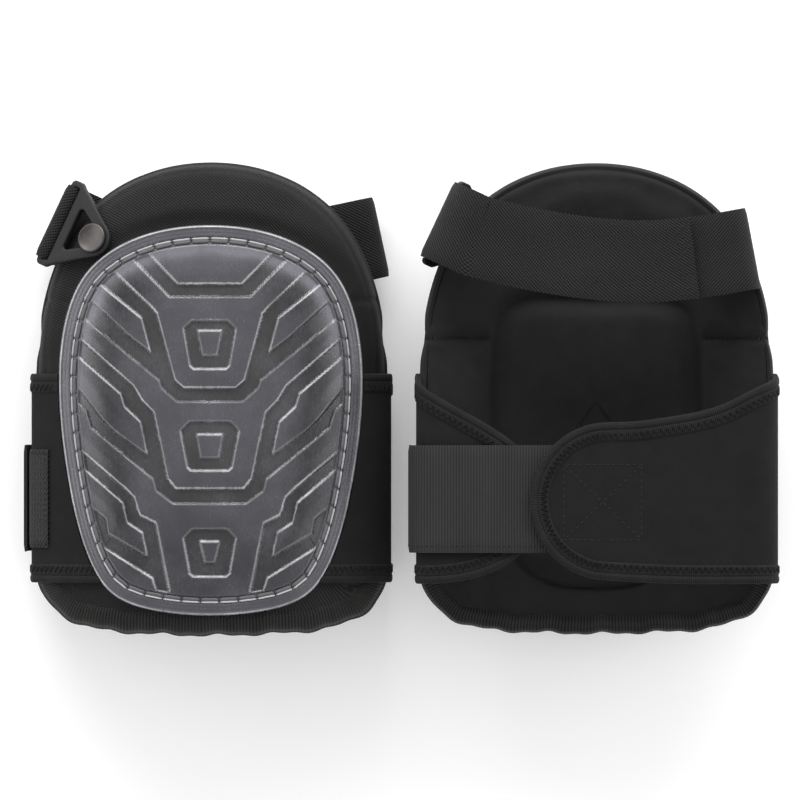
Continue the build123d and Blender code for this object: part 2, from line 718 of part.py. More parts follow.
with BuildPart() as upper_strap_return:
    add(heel(loop_outer, loop_inner, tail_low, tail_high, OUTER_HEEL, RETURN_REACH))
    return_end = strap_end_plane(tail_flat_x)
    split(bisect_by=Plane(origin=return_end.origin, z_dir=return_end.x_dir), keep=Keep.TOP)

with BuildPart() as upper_strap_loop:
    with BuildSketch(bar_plane):
        with Locations((0, bar_centre.Z)):
            Circle(loop_outer)
        with Locations((0, bar_centre.Z - LOOP_LEG / 2)):
            Rectangle(2 * loop_outer, LOOP_LEG)
        with Locations((0, bar_centre.Z)):
            Circle(loop_inner, mode=Mode.SUBTRACT)
        with Locations((0, bar_centre.Z - LOOP_LEG / 2)):
            Rectangle(2 * loop_inner, LOOP_LEG, mode=Mode.SUBTRACT)
    extrude(amount=LOOP_WIDTH / 2, both=True)

with BuildPart() as upper_strap_tail:
    add(strap_band(tail_low, UPPER_STRAP_THICKNESS, tail_flat_x + TAIL_GAP, TAIL_END_X))

with BuildPart() as hook_tab:
    add(
        strap_band(
            tail_high,
            HOOK_TAB_THICKNESS,
            TAIL_END_X - HOOK_TAB_LENGTH,
            TAIL_END_X - 2,
            UPPER_STRAP_WIDTH - 4,
        )
    )

with BuildPart() as upper_strap_anchor:
    fold_plane = strap_end_plane(ANCHOR_FOLD_X)
    fold_mid_z = strap_low_z + ANCHOR_FOLD_RADIUS
    with BuildSketch(fold_plane):
        with Locations((-ANCHOR_FOLD_RADIUS, fold_mid_z)):
            Circle(ANCHOR_FOLD_RADIUS)
            Circle(ANCHOR_FOLD_RADIUS - UPPER_STRAP_THICKNESS, mode=Mode.SUBTRACT)
            with Locations((-ANCHOR_LEG / 2, 0)):
                Rectangle(ANCHOR_LEG, 2 * ANCHOR_FOLD_RADIUS, mode=Mode.SUBTRACT)
        for leg_z in (strap_low_z, strap_low_z + 2 * ANCHOR_FOLD_RADIUS - UPPER_STRAP_THICKNESS):
            leg_middle = leg_z + UPPER_STRAP_THICKNESS / 2
            with Locations((-ANCHOR_FOLD_RADIUS - (ANCHOR_LEG - ANCHOR_FOLD_RADIUS) / 2, leg_middle)):
                Rectangle(ANCHOR_LEG - ANCHOR_FOLD_RADIUS, UPPER_STRAP_THICKNESS)
    extrude(amount=UPPER_STRAP_WIDTH / 2, both=True)
    add(prism(pad_outline(), ANCHOR_RIM_Z), mode=Mode.SUBTRACT)
    add(upper_strap.part, mode=Mode.SUBTRACT)

pieces = {
    "cap": cap,
    "cap_stitching": cap_stitching,
    "front_cover": front_cover,
    "foam_core": foam_core,
    "gel_core": gel_core,
    "liner": liner,
    "bottom_binding": bottom_binding,
    "big_wing": big_wing,
    "big_wing_binding": big_wing_binding,
    "big_flap": big_flap,
    "big_flap_binding": big_flap_binding,
    "flap_stitching": flap_stitching,
    "small_wing": small_wing,
    "small_wing_binding": small_wing_binding,
    "small_flap": small_flap,
    "small_flap_binding": small_flap_binding,
    "hook_patch": hook_patch,
    "lower_strap": lower_strap,
    "lower_strap_end": lower_strap_end,
    "upper_strap_anchor": upper_strap_anchor,
    "upper_strap": upper_strap,
    "upper_strap_loop": upper_strap_loop,
    "upper_strap_return": upper_strap_return,
    "upper_strap_tail": upper_strap_tail,
    "hook_tab": hook_tab,
    "buckle": buckle,
    "stud_head": stud_head,
    "stud_post": stud_post,
    "stud_washer": stud_washer,
}

# The right-leg pad lies cap up; the left-leg pad is its mirror image through the middle of its height.
# The wrapped strap stands further out than the big wing does, so the pair is moved to centre its footprint.
centring = (-LOWER_STRAP_OUTER_X - WING_OUTER_X - BINDING_PROUD) / 2
os.makedirs("parts", exist_ok=True)
for name, piece in pieces.items():
    upright = Pos(centring - PAD_SPACING / 2, 0, 0) * piece.part
    turned = Pos(centring + PAD_SPACING / 2, 0, PAD_HEIGHT) * mirror(piece.part, about=Plane.XY)
    for side, placed in (("right", upright), ("left", turned)):
        placed.label = f"{side}_{name}"
        export_step(placed, f"parts/{placed.label}.step")
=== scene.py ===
"""The looks of a pair of strap-on gel knee pads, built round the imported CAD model.

Each pad is worked out in its own frame, in millimetres: +X across the knee, +Y up the leg, +Z out of the cap,
with Z = 0 at the straps that cross the back of the leg. Pad.place() puts it where the CAD pad lies: the right
pad cap up, the left one turned over.
"""

import math

import bmesh
import bpy
import numpy as np
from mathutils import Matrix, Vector
from mathutils.kdtree import KDTree


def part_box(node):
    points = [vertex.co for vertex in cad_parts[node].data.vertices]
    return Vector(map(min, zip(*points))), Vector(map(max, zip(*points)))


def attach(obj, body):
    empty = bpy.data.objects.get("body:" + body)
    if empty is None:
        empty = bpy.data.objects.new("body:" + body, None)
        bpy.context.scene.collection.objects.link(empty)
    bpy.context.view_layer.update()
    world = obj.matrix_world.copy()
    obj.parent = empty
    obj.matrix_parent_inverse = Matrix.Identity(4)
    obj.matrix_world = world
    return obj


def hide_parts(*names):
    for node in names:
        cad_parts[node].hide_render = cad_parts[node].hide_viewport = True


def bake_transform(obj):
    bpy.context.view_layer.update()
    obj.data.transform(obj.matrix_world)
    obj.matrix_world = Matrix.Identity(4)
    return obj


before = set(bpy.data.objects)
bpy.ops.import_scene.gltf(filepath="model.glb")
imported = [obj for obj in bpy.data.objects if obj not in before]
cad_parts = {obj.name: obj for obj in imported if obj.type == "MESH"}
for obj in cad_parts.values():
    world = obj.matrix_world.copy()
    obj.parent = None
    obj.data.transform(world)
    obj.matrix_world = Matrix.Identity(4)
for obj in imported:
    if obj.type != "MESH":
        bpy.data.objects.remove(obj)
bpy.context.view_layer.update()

MM = 0.001
UV_MM = "Cloth"
# Masks painted on the cap: sunk areas, edge wear with painted highlights, a painted highlight near the seam,
# and painted shade
SUNK, EDGE_WEAR_AND_HIGHLIGHT, PAINTED_HIGHLIGHT, PAINTED_SHADE = "Sunk", "EdgeWearAndHighlight", "PaintedHighlight", "PaintedShade"

# Crowned surfaces, as the CAD has them
PAD_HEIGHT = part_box("right_cap")[1].z / MM
CAP_RADIUS = 120.0
LEG_RADIUS = 110.0
LEG_CROWN_Z = 45.0
ROLL_TOP = (20.0, 300.0)
ROLL_FOOT = (-85.0, 90.0)
COVER_DEPTH = 2.5
COVER_THICKNESS = 1.2
LINER_THICKNESS = 3.0

# Outlines: the right half, from the top to the foot
PAD_HALF = [
    (0, 109.4), (30, 104.2), (55, 88.5), (71, 64), (78.5, 36), (80.4, 8), (80.4, -20), (80.4, -48),
    (80.2, -74), (74.5, -95), (56, -105), (30, -107.8), (0, -108.6),
]
CAP_HALF = [
    (0, 81.4), (34, 75.8), (58, 59.5), (69.6, 29), (70.9, 0), (66.5, -38), (58.4, -70), (46, -90),
    (24, -98.3), (0, -100.2),
]

# Wings and straps
WING_OUTER_X = 84.2
WING_TOP_Y = 12.0
WING_FOOT_Y = -85.0
WING_DEPTH = 0.5
WING_THICKNESS = 2.2
WING_SHOULDER = 5.0
WING_CAP_GAP = 0.3
WING_START_ROWS = 34
WING_WALL_Z = 20.0
WING_WALL_RUN = 14.0
BINDING_WIDTH = 8.4
BINDING_PROUD = 0.45
ZIGZAG_PITCH = 1.45
ZIGZAG_REACH = (4.7, 7.5)
FLAP_OUTER_Z = 0.35
FLAP_HEEL = 11.0
FLAP_TIP_CENTRE = (5.5, -47.0)
FLAP_TIP_RADIUS = 36.5
SMALL_FLAP_OUTER_Z = 5.2
SMALL_FLAP_HEEL = 6.5
STRAP_THICKNESS = 1.6
LOWER_STRAP_WIDTH = 50.0
LOWER_STRAP_Y = -46.0
LOWER_STRAP_OUTER_X = 87.9
LOWER_STRAP_OUTER_Z = 3.0
LOWER_STRAP_START_X = 17.0
LOWER_STRAP_END_Z = 33.0
LOWER_STRAP_HEEL = 9.5
WING_BEND_Z = (23.0, 7.0)
STRAP_BEND_Z = (8.85, 18.85)
TAIL_BEND_X = (-61.0, -48.0)
TAIL_BEND_Y = 76.0
PATCH_WIDTH = 46.0
PATCH_THICKNESS = 1.1
PATCH_FRONT_X = 75.5
PATCH_FOOT_Z = 17.0
PATCH_SEAM_INSET = 1.6
PATCH_SEAM_FOOT = 1.5
LOWER_STRAP_HEM = 3.2
CROSS_CORNERS = [(-15.6, -30.0), (20.4, -30.0), (20.4, -65.0), (-15.6, -65.0)]
UPPER_STRAP_WIDTH = 38.0
ARC_CENTRE = (8.0, 365.4)
ARC_RADIUS = 297.0
BAND_Z = 3.3
TAIL_Z = 0.8
TAIL_END_X = 45.0
STRAP_LIE = {"right": (79.0, 0.0), "left": (72.0, 4.6)}
FOLD_RADIUS = 7.2
FOLD_RETURN = 17.0
SLING_FOOT_Z = 17.0
INNER_WALL = -2.85
OUTER_WALL = 2.85
SLING_NARROWER = 1.6
RIBBON_STEP = 1.2
HOOK_TAB_LENGTH = 28.0
HOOK_TAB_NARROWER = 4.0
TAIL_SEAMS = (7.0, 4.2, 1.6)
TAIL_SEAM_HALF = 17.6

# Pitch, length and radius of the stitches in each seam
FOOT_STITCH = (2.8, 2.1, 0.28)
DART_STITCH = (2.6, 1.9, 0.3)
CROSS_STITCH = (3.1, 2.5, 0.34)
STRAP_STITCH = (2.4, 1.8, 0.26)
PATCH_STITCH = (2.6, 2.0, 0.28)
TAIL_STITCH = (2.4, 1.9, 0.28)

# Stud and buckle
STUD_X, STUD_Y = -53.2, 74.6
BUCKLE_SLANT = math.radians(25.0)
BAR_DISTANCE = 21.4
BUCKLE_LIFT = 0.6
BUCKLE_THICKNESS = 3.4
BUCKLE_APEX = 8.5
BUCKLE_FOOT = (15.4, 19.6)
BUCKLE_BASE = (23.0, 21.4)
BUCKLE_CORNER = 2.2
BAR_OUTER = 22.5
LOOP_HALF = 18.7
PIVOT_RADIUS = 3.5
WINDOW = (11.2, 8.6)
WINDOW_CORNER = 1.5
SLOT = (17.7, 20.3, 18.3)


# ---------------------------------------------------------------- curves and surfaces
def smooth(t):
    """A soft step from 0 to 1 as t goes from 0 to 1."""
    t = np.clip(t, 0.0, 1.0)
    return t * t * (3 - 2 * t)


def spline(points, count, closed=False):
    """A cubic spline through the points, as count points spaced evenly along it."""
    p = np.array(points, float)
    if closed:
        p = np.vstack([p, p[:1]])
    t = along(p)
    h, n = np.diff(t), len(p)
    a, b = np.zeros((n, n)), np.zeros((n, p.shape[1]))
    slope = np.diff(p, axis=0) / h[:, None]
    for i in range(1, n - 1):
        a[i, i - 1 : i + 2] = h[i - 1], 2 * (h[i - 1] + h[i]), h[i]
        b[i] = 6 * (slope[i] - slope[i - 1])
    if closed:
        a[0, [0, 1, n - 2]] = 2 * (h[0] + h[-1]), h[0], h[-1]
        b[0] = 6 * (slope[0] - slope[-1])
        a[-1, [0, n - 1]] = 1, -1
    else:
        a[0, 0] = a[-1, -1] = 1
    m = np.linalg.solve(a, b)
    at = np.linspace(0, t[-1], count * 8)
    i = np.clip(np.searchsorted(t, at, side="right") - 1, 0, n - 2)
    u, w = (at - t[i])[:, None], (t[i + 1] - at)[:, None]
    k = h[i][:, None]
    fine = (m[i] * w**3 + m[i + 1] * u**3) / (6 * k) + (p[i] / k - m[i] * k / 6) * w
    fine += (p[i + 1] / k - m[i + 1] * k / 6) * u
    return even(fine, count, closed)


def along(points):
    """Distance along a line at each of its points."""
    return np.concatenate([[0], np.cumsum(np.linalg.norm(np.diff(points, axis=0), axis=1))])


def sampled(points, s, at):
    """Values at the distances `at` along a line whose points lie at the distances s."""
    return np.stack([np.interp(at, s, c) for c in np.array(points).T], 1)


def even(points, count, closed=False):
    """The same line as count points at even spacing."""
    s = along(points)
    return sampled(points, s, np.linspace(0, s[-1], count, endpoint=not closed))


def unit(vectors):
    """The same vectors, each 1 long."""
    return vectors / np.linalg.norm(vectors, axis=-1, keepdims=True)


def ridge(x, middle, width):
    """A soft ridge along a line: 1 at its middle, and gone about two widths away."""
    return np.exp(-(((x - middle) / width) ** 2))


def outline(half, count):
    """A closed symmetric outline from its right half, clockwise from the top."""
    left = [(-x, y) for x, y in half[-2:0:-1]]
    return spline(list(half) + left, count, closed=True)


def inward(ring):
    """Unit vectors square to a clockwise closed outline, towards its inside."""
    return turned_right(unit(np.roll(ring, -1, 0) - np.roll(ring, 1, 0)))


def square_to(line):
    """Unit vectors square to an open line, to the right of its run."""
    return turned_right(unit(np.gradient(line, axis=0)))


def turned_right(vectors):
    """Flat vectors turned a quarter turn to the right."""
    return np.stack([vectors[:, 1], -vectors[:, 0]], 1)


def fillet_line(corners):
    """A line in XZ through (x, z, radius) corners, each rounded to its radius."""
    line = [np.array(corners[0][:2], float)]
    for before, (x, z, r), after in zip(corners, corners[1:], corners[2:]):
        corner = np.array((x, z), float)
        if not r:
            line.append(corner)
            continue
        a = unit(np.array(before[:2]) - corner)
        b = unit(np.array(after[:2]) - corner)
        half = math.acos(np.clip(a @ b, -1, 1)) / 2
        centre = corner + unit(a + b) * r / math.sin(half)
        start = corner + a * r / math.tan(half) - centre
        end = corner + b * r / math.tan(half) - centre
        for t in np.linspace(0, 1, 13):
            line.append(centre + unit(start * (1 - t) + end * t) * r)
    line.append(np.array(corners[-1][:2], float))
    return np.array(line)


def rounded_loop(corners):
    """A closed outline through (u, v, radius) corners, each rounded to its radius."""
    loop = []
    for before, corner, after in zip(corners[-1:] + corners[:-1], corners, corners[1:] + corners[:1]):
        loop.append(fillet_line([before, corner, after])[1:-1])
    return np.vstack(loop)


def roll_drop(y):
    """How far the crowned surfaces have rolled off at a height y up the leg."""
    top = np.maximum(0, y - ROLL_TOP[0])
    foot = np.maximum(0, ROLL_FOOT[0] - y)
    drop = ROLL_TOP[1] - np.sqrt(ROLL_TOP[1] ** 2 - top**2)
    return drop + ROLL_FOOT[1] - np.sqrt(ROLL_FOOT[1] ** 2 - foot**2)


def front_z(x, y, depth=0.0):
    """Height of the front surface, sunk by depth under the cap's outer surface."""
    return PAD_HEIGHT - CAP_RADIUS + np.sqrt((CAP_RADIUS - depth - roll_drop(y)) ** 2 - x**2)


def leg_z(x, y):
    """Height of the leg-side surface."""
    return LEG_CROWN_Z - LEG_RADIUS + np.sqrt((LEG_RADIUS - roll_drop(y)) ** 2 - x**2)


def quads(rows, cols, wrap=True):
    """Faces of a rows by cols grid of points; wrap closes it along the columns."""
    r = np.arange(rows - 1)[:, None] * cols
    c = np.arange(cols if wrap else cols - 1)[None, :]
    d = (c + 1) % cols
    return np.stack([r + c, r + d, r + cols + d, r + cols + c], -1).reshape(-1, 4).tolist()


def tube(rings):
    """A closed skin over an array of rings (stations, points round, 3), with flat ends."""
    rows, cols = rings.shape[:2]
    faces = quads(rows, cols)
    faces += [list(range(cols)), list(range((rows - 1) * cols, rows * cols))]
    return rings.reshape(-1, 3), faces


def shell(rings):
    """A closed skin over rings that start and end near a point on the middle line."""
    rows, cols = rings.shape[:2]
    verts = np.vstack([rings.reshape(-1, 3), rings[0].mean(0), rings[-1].mean(0)])
    first, last = rows * cols, rows * cols + 1
    faces = quads(rows, cols)
    for i in range(cols):
        j = (i + 1) % cols
        faces += [[first, j, i], [last, (rows - 1) * cols + i, (rows - 1) * cols + j]]
    return verts, faces


def ring_normals(rings):
    """Unit normals of a grid of rings, closed along the columns."""
    down = np.gradient(rings, axis=0)
    across = np.roll(rings, -1, 1) - np.roll(rings, 1, 1)
    n = np.cross(across, down)
    return n / np.maximum(np.linalg.norm(n, axis=2), 1e-9)[..., None]


def tape_profile(width, thickness, edge, across):
    """A band's cross-section with soft edges, as a loop of (v, h): v across it, h out of its face."""
    v = np.linspace(-width / 2, width / 2, across)
    edge_drop = edge * (1 - smooth((width / 2 - abs(v)) / 1.2))
    outer = np.stack([v, -edge_drop], 1)
    inner = np.stack([v[::-1], (edge_drop - thickness)[::-1]], 1)
    return np.vstack([outer, inner])


class Section:
    """A strip's outer face from the front, down the side and on to the back, as a line in XZ."""

    def __init__(self, corners, mirrored=False):
        raw = fillet_line(corners)
        count = max(2, int(along(raw)[-1] / 0.4))
        self.line = even(raw, count)
        self.s = along(self.line)
        self.normal = -square_to(self.line)
        self.sign = -1 if mirrored else 1

    def at_x(self, x):
        """Distance along to where the back part passes x."""
        flat = self.normal[:, 1] < -0.9
        order = np.argsort(self.line[flat, 0])
        return np.interp(self.sign * x, self.line[flat, 0][order], self.s[flat][order])

    def front_at_x(self, x):
        """Distance along to where the front part passes x."""
        front = self.normal[:, 1] > 0.3
        return np.interp(abs(x), self.line[front, 0], self.s[front])

    def at_z(self, z):
        """Distance along to where the side part passes z."""
        side = abs(self.normal[:, 0]) > 0.9
        order = np.argsort(self.line[side, 1])
        return np.interp(z, self.line[side, 1][order], self.s[side][order])

    def place(self, s, y, h):
        """Points at distance s along, height y up the leg and h out of the face."""
        s, y, h = np.broadcast_arrays(s, y, h)
        x, z = (np.interp(s, self.s, c) for c in self.line.T)
        nx, nz = (np.interp(s, self.s, c) for c in self.normal.T)
        return np.stack([self.sign * (x + h * nx), y, z + h * nz], -1)


def linked(name, data):
    """A new object in the scene."""
    made = bpy.data.objects.new(name, data)
    bpy.context.scene.collection.objects.link(made)
    return made


# ---------------------------------------------------------------- materials
class Value:
    """A number in a material's node tree, so that weaves can be written as sums and products."""

    def __init__(self, tree, socket):
        self.tree, self.socket = tree, socket

    def _math(self, operation, *others, clamp=False):
        node = self.tree.nodes.new("ShaderNodeMath")
        node.operation, node.use_clamp = operation, clamp
        for i, term in enumerate((self, *others)):
            if isinstance(term, Value):
                self.tree.links.new(term.socket, node.inputs[i])
            else:
                node.inputs[i].default_value = term
        return Value(self.tree, node.outputs[0])

    def __add__(self, other):
        return self._math("ADD", other)

    def __sub__(self, other):
        return self._math("SUBTRACT", other)

    def __mul__(self, other):
        return self._math("MULTIPLY", other)

    def sine(self):
        return self._math("SINE")

    def size(self):
        return self._math("ABSOLUTE")

    def fraction(self):
        return self._math("FRACT")

    def clamped(self):
        return self._math("ADD", 0.0, clamp=True)


class Finish:
    """A Principled material whose colour, roughness and bump come from a pattern in millimetres."""

    def __init__(self, name, **fixed):
        self.material = bpy.data.materials.new(name)
        self.material.use_nodes = True
        self.tree = self.material.node_tree
        self.shader = self.tree.nodes["Principled BSDF"]
        for socket, value in fixed.items():
            self.shader.inputs[socket.replace("_", " ")].default_value = value
        uv = self.tree.nodes.new("ShaderNodeUVMap")
        uv.uv_map = UV_MM
        self.coordinates = uv.outputs[0]
        split = self.tree.nodes.new("ShaderNodeSeparateXYZ")
        self.tree.links.new(self.coordinates, split.inputs[0])
        self.u = Value(self.tree, split.outputs[0])
        self.v = Value(self.tree, split.outputs[1])

    def wave(self, u_period=0.0, v_period=0.0):
        """A sine from -1 to 1 with these periods along u and v; both make it run diagonally."""
        turns = None
        for axis, period in ((self.u, u_period), (self.v, v_period)):
            if period:
                term = axis * (math.tau / period)
                turns = term if turns is None else turns + term
        return turns.sine()

    def noise(self, period, detail=3.0, stretch=(1, 1)):
        """Smooth noise from 0 to 1 with features about period wide."""
        mapping = self.tree.nodes.new("ShaderNodeMapping")
        mapping.inputs["Scale"].default_value = (stretch[0] / period, stretch[1] / period, 1)
        node = self.tree.nodes.new("ShaderNodeTexNoise")
        node.inputs["Scale"].default_value = 1.0
        node.inputs["Detail"].default_value = detail
        self.tree.links.new(self.coordinates, mapping.inputs[0])
        self.tree.links.new(mapping.outputs[0], node.inputs["Vector"])
        return Value(self.tree, node.outputs[0])

    def painted(self, name):
        """A value from 0 to 1 painted on the mesh."""
        node = self.tree.nodes.new("ShaderNodeAttribute")
        node.attribute_name = name
        return Value(self.tree, node.outputs["Fac"])

    def mixed(self, factor, first, second):
        """A colour from first to second; each is a colour or another mix."""
        mix = self.tree.nodes.new("ShaderNodeMix")
        mix.data_type = "RGBA"
        self.tree.links.new(factor.clamped().socket, mix.inputs["Factor"])
        for slot_name, term in (("A", first), ("B", second)):
            socket = next(i for i in mix.inputs if i.name == slot_name and i.type == "RGBA")
            if isinstance(term, (tuple, list)):
                socket.default_value = (*term, 1)
            else:
                self.tree.links.new(term, socket)
        return next(o for o in mix.outputs if o.type == "RGBA")

    def colour(self, factor, dark, light):
        """Base colour from dark to light as factor goes from 0 to 1."""
        self.tree.links.new(self.mixed(factor, dark, light), self.shader.inputs["Base Color"])
        return self

    def roughness(self, value):
        self.tree.links.new(value.clamped().socket, self.shader.inputs["Roughness"])
        return self

    def bump(self, height, depth):
        """Relief from height, whose range of 1 stands for depth millimetres."""
        node = self.tree.nodes.new("ShaderNodeBump")
        node.inputs["Distance"].default_value = depth * MM
        node.inputs["Strength"].default_value = 1.0
        self.tree.links.new(height.socket, node.inputs["Height"])
        self.tree.links.new(node.outputs[0], self.shader.inputs["Normal"])
        return self


def twill_finish(name, dark, light, period=1.1):
    """Nylon twill: diagonal ribs crossed by short floats of thread."""
    cloth = Finish(name, Sheen_Weight=0.02, Sheen_Roughness=0.4, Specular_IOR_Level=0.1)
    rib = cloth.wave(period * 1.45, period * 1.45)
    float_break = cloth.wave(period * 0.9, -period * 2.2)
    fuzz = cloth.noise(0.5)
    wear = cloth.noise(38.0, 4.0)
    height = rib * 0.34 + float_break * 0.12 + fuzz * 0.35 + 0.35
    cloth.colour(height * 0.75 + wear * 0.5 - 0.2, dark, light)
    cloth.roughness(fuzz * 0.2 + 0.6 - rib * 0.06)
    return cloth.bump(height, 0.32).material


def jersey_finish(name, dark, light):
    """Knit jersey over neoprene: a matt, fine knit with faint lint and slow waves in the foam."""
    cloth = Finish(name, Sheen_Weight=0.02, Sheen_Roughness=0.5, Specular_IOR_Level=0.06)
    knit = cloth.wave(0.55, 0.0) * cloth.wave(0.0, 0.7)
    fuzz = cloth.noise(0.7, 4.0)
    mottle = cloth.noise(9.0, 5.0)
    slow = cloth.noise(30.0, 2.0)
    cloth.colour(knit * 0.12 + fuzz * 0.5 + mottle * 0.45 + slow * 0.3 - 0.2, dark, light)
    cloth.roughness(fuzz * 0.15 + 0.78)
    return cloth.bump(knit * 0.12 + fuzz * 0.3 + mottle * 1.3 + slow * 2.0, 0.24).material


def webbing_finish(name, dark, light):
    """Woven elastic: diagonal ribs with a fine cross thread."""
    cloth = Finish(name, Sheen_Weight=0.02, Sheen_Roughness=0.4, Specular_IOR_Level=0.12)
    rib = cloth.wave(1.9, 1.5)
    cross = cloth.wave(1.15, -2.6)
    fuzz = cloth.noise(0.45)
    wear = cloth.noise(26.0, 3.0, (0.5, 1.5))
    height = rib * 0.34 + cross * 0.2 + fuzz * 0.3 + 0.4
    cloth.colour(height * 0.9 + wear * 0.35 - 0.2, dark, light)
    cloth.roughness(fuzz * 0.2 + 0.55)
    return cloth.bump(height, 0.34).material


def elastic_finish(name, dark, light, period=1.25):
    """Knitted elastic: fine ribs square to its length, crossed by rubber threads."""
    cloth = Finish(name, Sheen_Weight=0.02, Sheen_Roughness=0.4, Specular_IOR_Level=0.1)
    rib = cloth.wave(period, 0.0)
    thread = cloth.wave(0.0, 0.9)
    fuzz = cloth.noise(0.5)
    band = cloth.noise(11.0, 2.0, (1.0, 0.15))
    height = rib * 0.33 + thread * 0.1 + fuzz * 0.3 + 0.35
    cloth.colour(height * 0.8 + band * 0.45 - 0.2, dark, light)
    cloth.roughness(fuzz * 0.2 + 0.62)
    return cloth.bump(height, 0.26).material


def hook_finish(name, dark, light):
    """Hook tape: rows of zigzag hooks."""
    cloth = Finish(name, Specular_IOR_Level=0.25)
    zigzag = ((cloth.v * (1 / 2.4)).fraction() - 0.5).size() * 2.0
    rows = (cloth.u * (math.tau / 1.9) + zigzag * 3.6).sine()
    hooks = cloth.wave(0.0, 0.55)
    fuzz = cloth.noise(0.4)
    height = rows * 0.4 + hooks * rows * 0.2 + fuzz * 0.25 + 0.4
    cloth.colour(height, dark, light)
    cloth.roughness(fuzz * 0.2 + 0.42)
    return cloth.bump(height, 0.7).material


def thread_finish(name, dark, light):
    """Twisted sewing thread."""
    cloth = Finish(name, Specular_IOR_Level=0.3)
    twist = cloth.wave(0.7, 0.7)
    fuzz = cloth.noise(0.6)
    cloth.colour(twist * 0.3 + fuzz * 0.7, dark, light)
    cloth.roughness(fuzz * 0.25 + 0.45)
    return cloth.bump(twist, 0.06).material


def plastic_finish(name, dark, light):
    """Moulded plastic: a fine spark-eroded grain with rubbed, shinier patches."""
    plastic = Finish(name, Specular_IOR_Level=0.25)
    grain = plastic.noise(0.28, 2.0)
    rubbed = plastic.noise(7.0, 4.0)
    plastic.colour(grain * 0.4 + rubbed * 0.8 - 0.1, dark, light)
    plastic.roughness(grain * 0.12 + rubbed * 0.25 + 0.3)
    return plastic.bump(grain, 0.07).material


def metal_finish(name, dark, light):
    """Plated steel: satin, with fine turning marks and light scuffs."""
    metal = Finish(name, Metallic=1.0)
    turned = metal.noise(0.35, 2.0, (0.15, 1.0))
    scuff = metal.noise(2.5, 5.0)
    metal.colour(turned * 0.4 + scuff * 0.7, dark, light)
    metal.roughness(turned * 0.15 + scuff * 0.2 + 0.22)
    return metal.bump(turned + scuff * 0.5, 0.03).material


def pvc_finish(name, thin, thick, wear_and_highlight):
    """Smoky clear PVC: glossy, faintly milky, pale along its crests and rim bead from edge wear and a painted
    highlight; the twill shows where it is thin; a painted highlight near the seam towards the top, and
    painted shade at the sides and the foot.
    """
    coat = {"Coat_Weight": 0.2, "Coat_Roughness": 0.14}
    pvc = Finish(name, Transmission_Weight=0.55, IOR=1.45, Specular_IOR_Level=0.32, **coat)
    haze = pvc.noise(24.0, 4.0)
    # A painted highlight near the seam, and painted shade at the sides and the foot, both read from the mesh
    painted_highlight, painted_shade = pvc.painted(PAINTED_HIGHLIGHT), pvc.painted(PAINTED_SHADE)
    scuff = pvc.noise(1.1, 4.0, (1.0, 0.4))
    patchy = pvc.noise(13.0, 2.0)
    fine = pvc.noise(0.5, 2.0)
    # edge: edge wear plus painted highlights on the crests and the rim bead
    sunk, edge = pvc.painted(SUNK), pvc.painted(EDGE_WEAR_AND_HIGHLIGHT)
    rib = pvc.wave(1.6, 1.6)
    base = pvc.mixed(sunk * (rib * 0.28 + 0.8), thick, thin)
    # Painted shade: the colour darkens at the sides and towards the foot
    shaded = pvc.mixed(painted_shade * (patchy * 0.9 + 0.5), base, [0.12 * c for c in thick])
    # Milky haze at random, plus a painted highlight near the seam that lightens the colour
    milk_and_highlight = haze * 0.7 + scuff * 0.3 - 0.35 + painted_highlight * patchy * 2.2
    cloudy_and_highlit = pvc.mixed(milk_and_highlight, shaded, [2.4 * c for c in thick])
    # Crests and the rim bead go pale: partly edge wear, partly a painted highlight on each shape's lit side
    rubbed = pvc.mixed(edge * (patchy * 1.8 - 0.1 + scuff * 0.2), cloudy_and_highlit, wear_and_highlight)
    pvc.tree.links.new(rubbed, pvc.shader.inputs["Base Color"])
    pvc.roughness(haze * 0.1 + scuff * 0.08 + fine * 0.04 + 0.15)
    return pvc.bump(scuff * 0.08 + haze * 0.8 + sunk * rib * 0.25, 0.06).material


def foam_finish(name, dark, light):
    """Open-cell foam."""
    foam = Finish(name, Specular_IOR_Level=0.2)
    cells = foam.noise(0.9, 4.0)
    foam.colour(cells, dark, light)
    foam.roughness(cells * 0.1 + 0.85)
    return foam.bump(cells, 0.5).material


def gel_finish(name, dark, light):
    """Soft gel in a film."""
    gel = Finish(name, Specular_IOR_Level=0.5, Subsurface_Weight=0.3, Coat_Weight=0.5)
    clouds = gel.noise(14.0, 3.0)
    gel.colour(clouds, dark, light)
    gel.roughness(clouds * 0.15 + 0.15)
    return gel.bump(clouds, 0.4).material


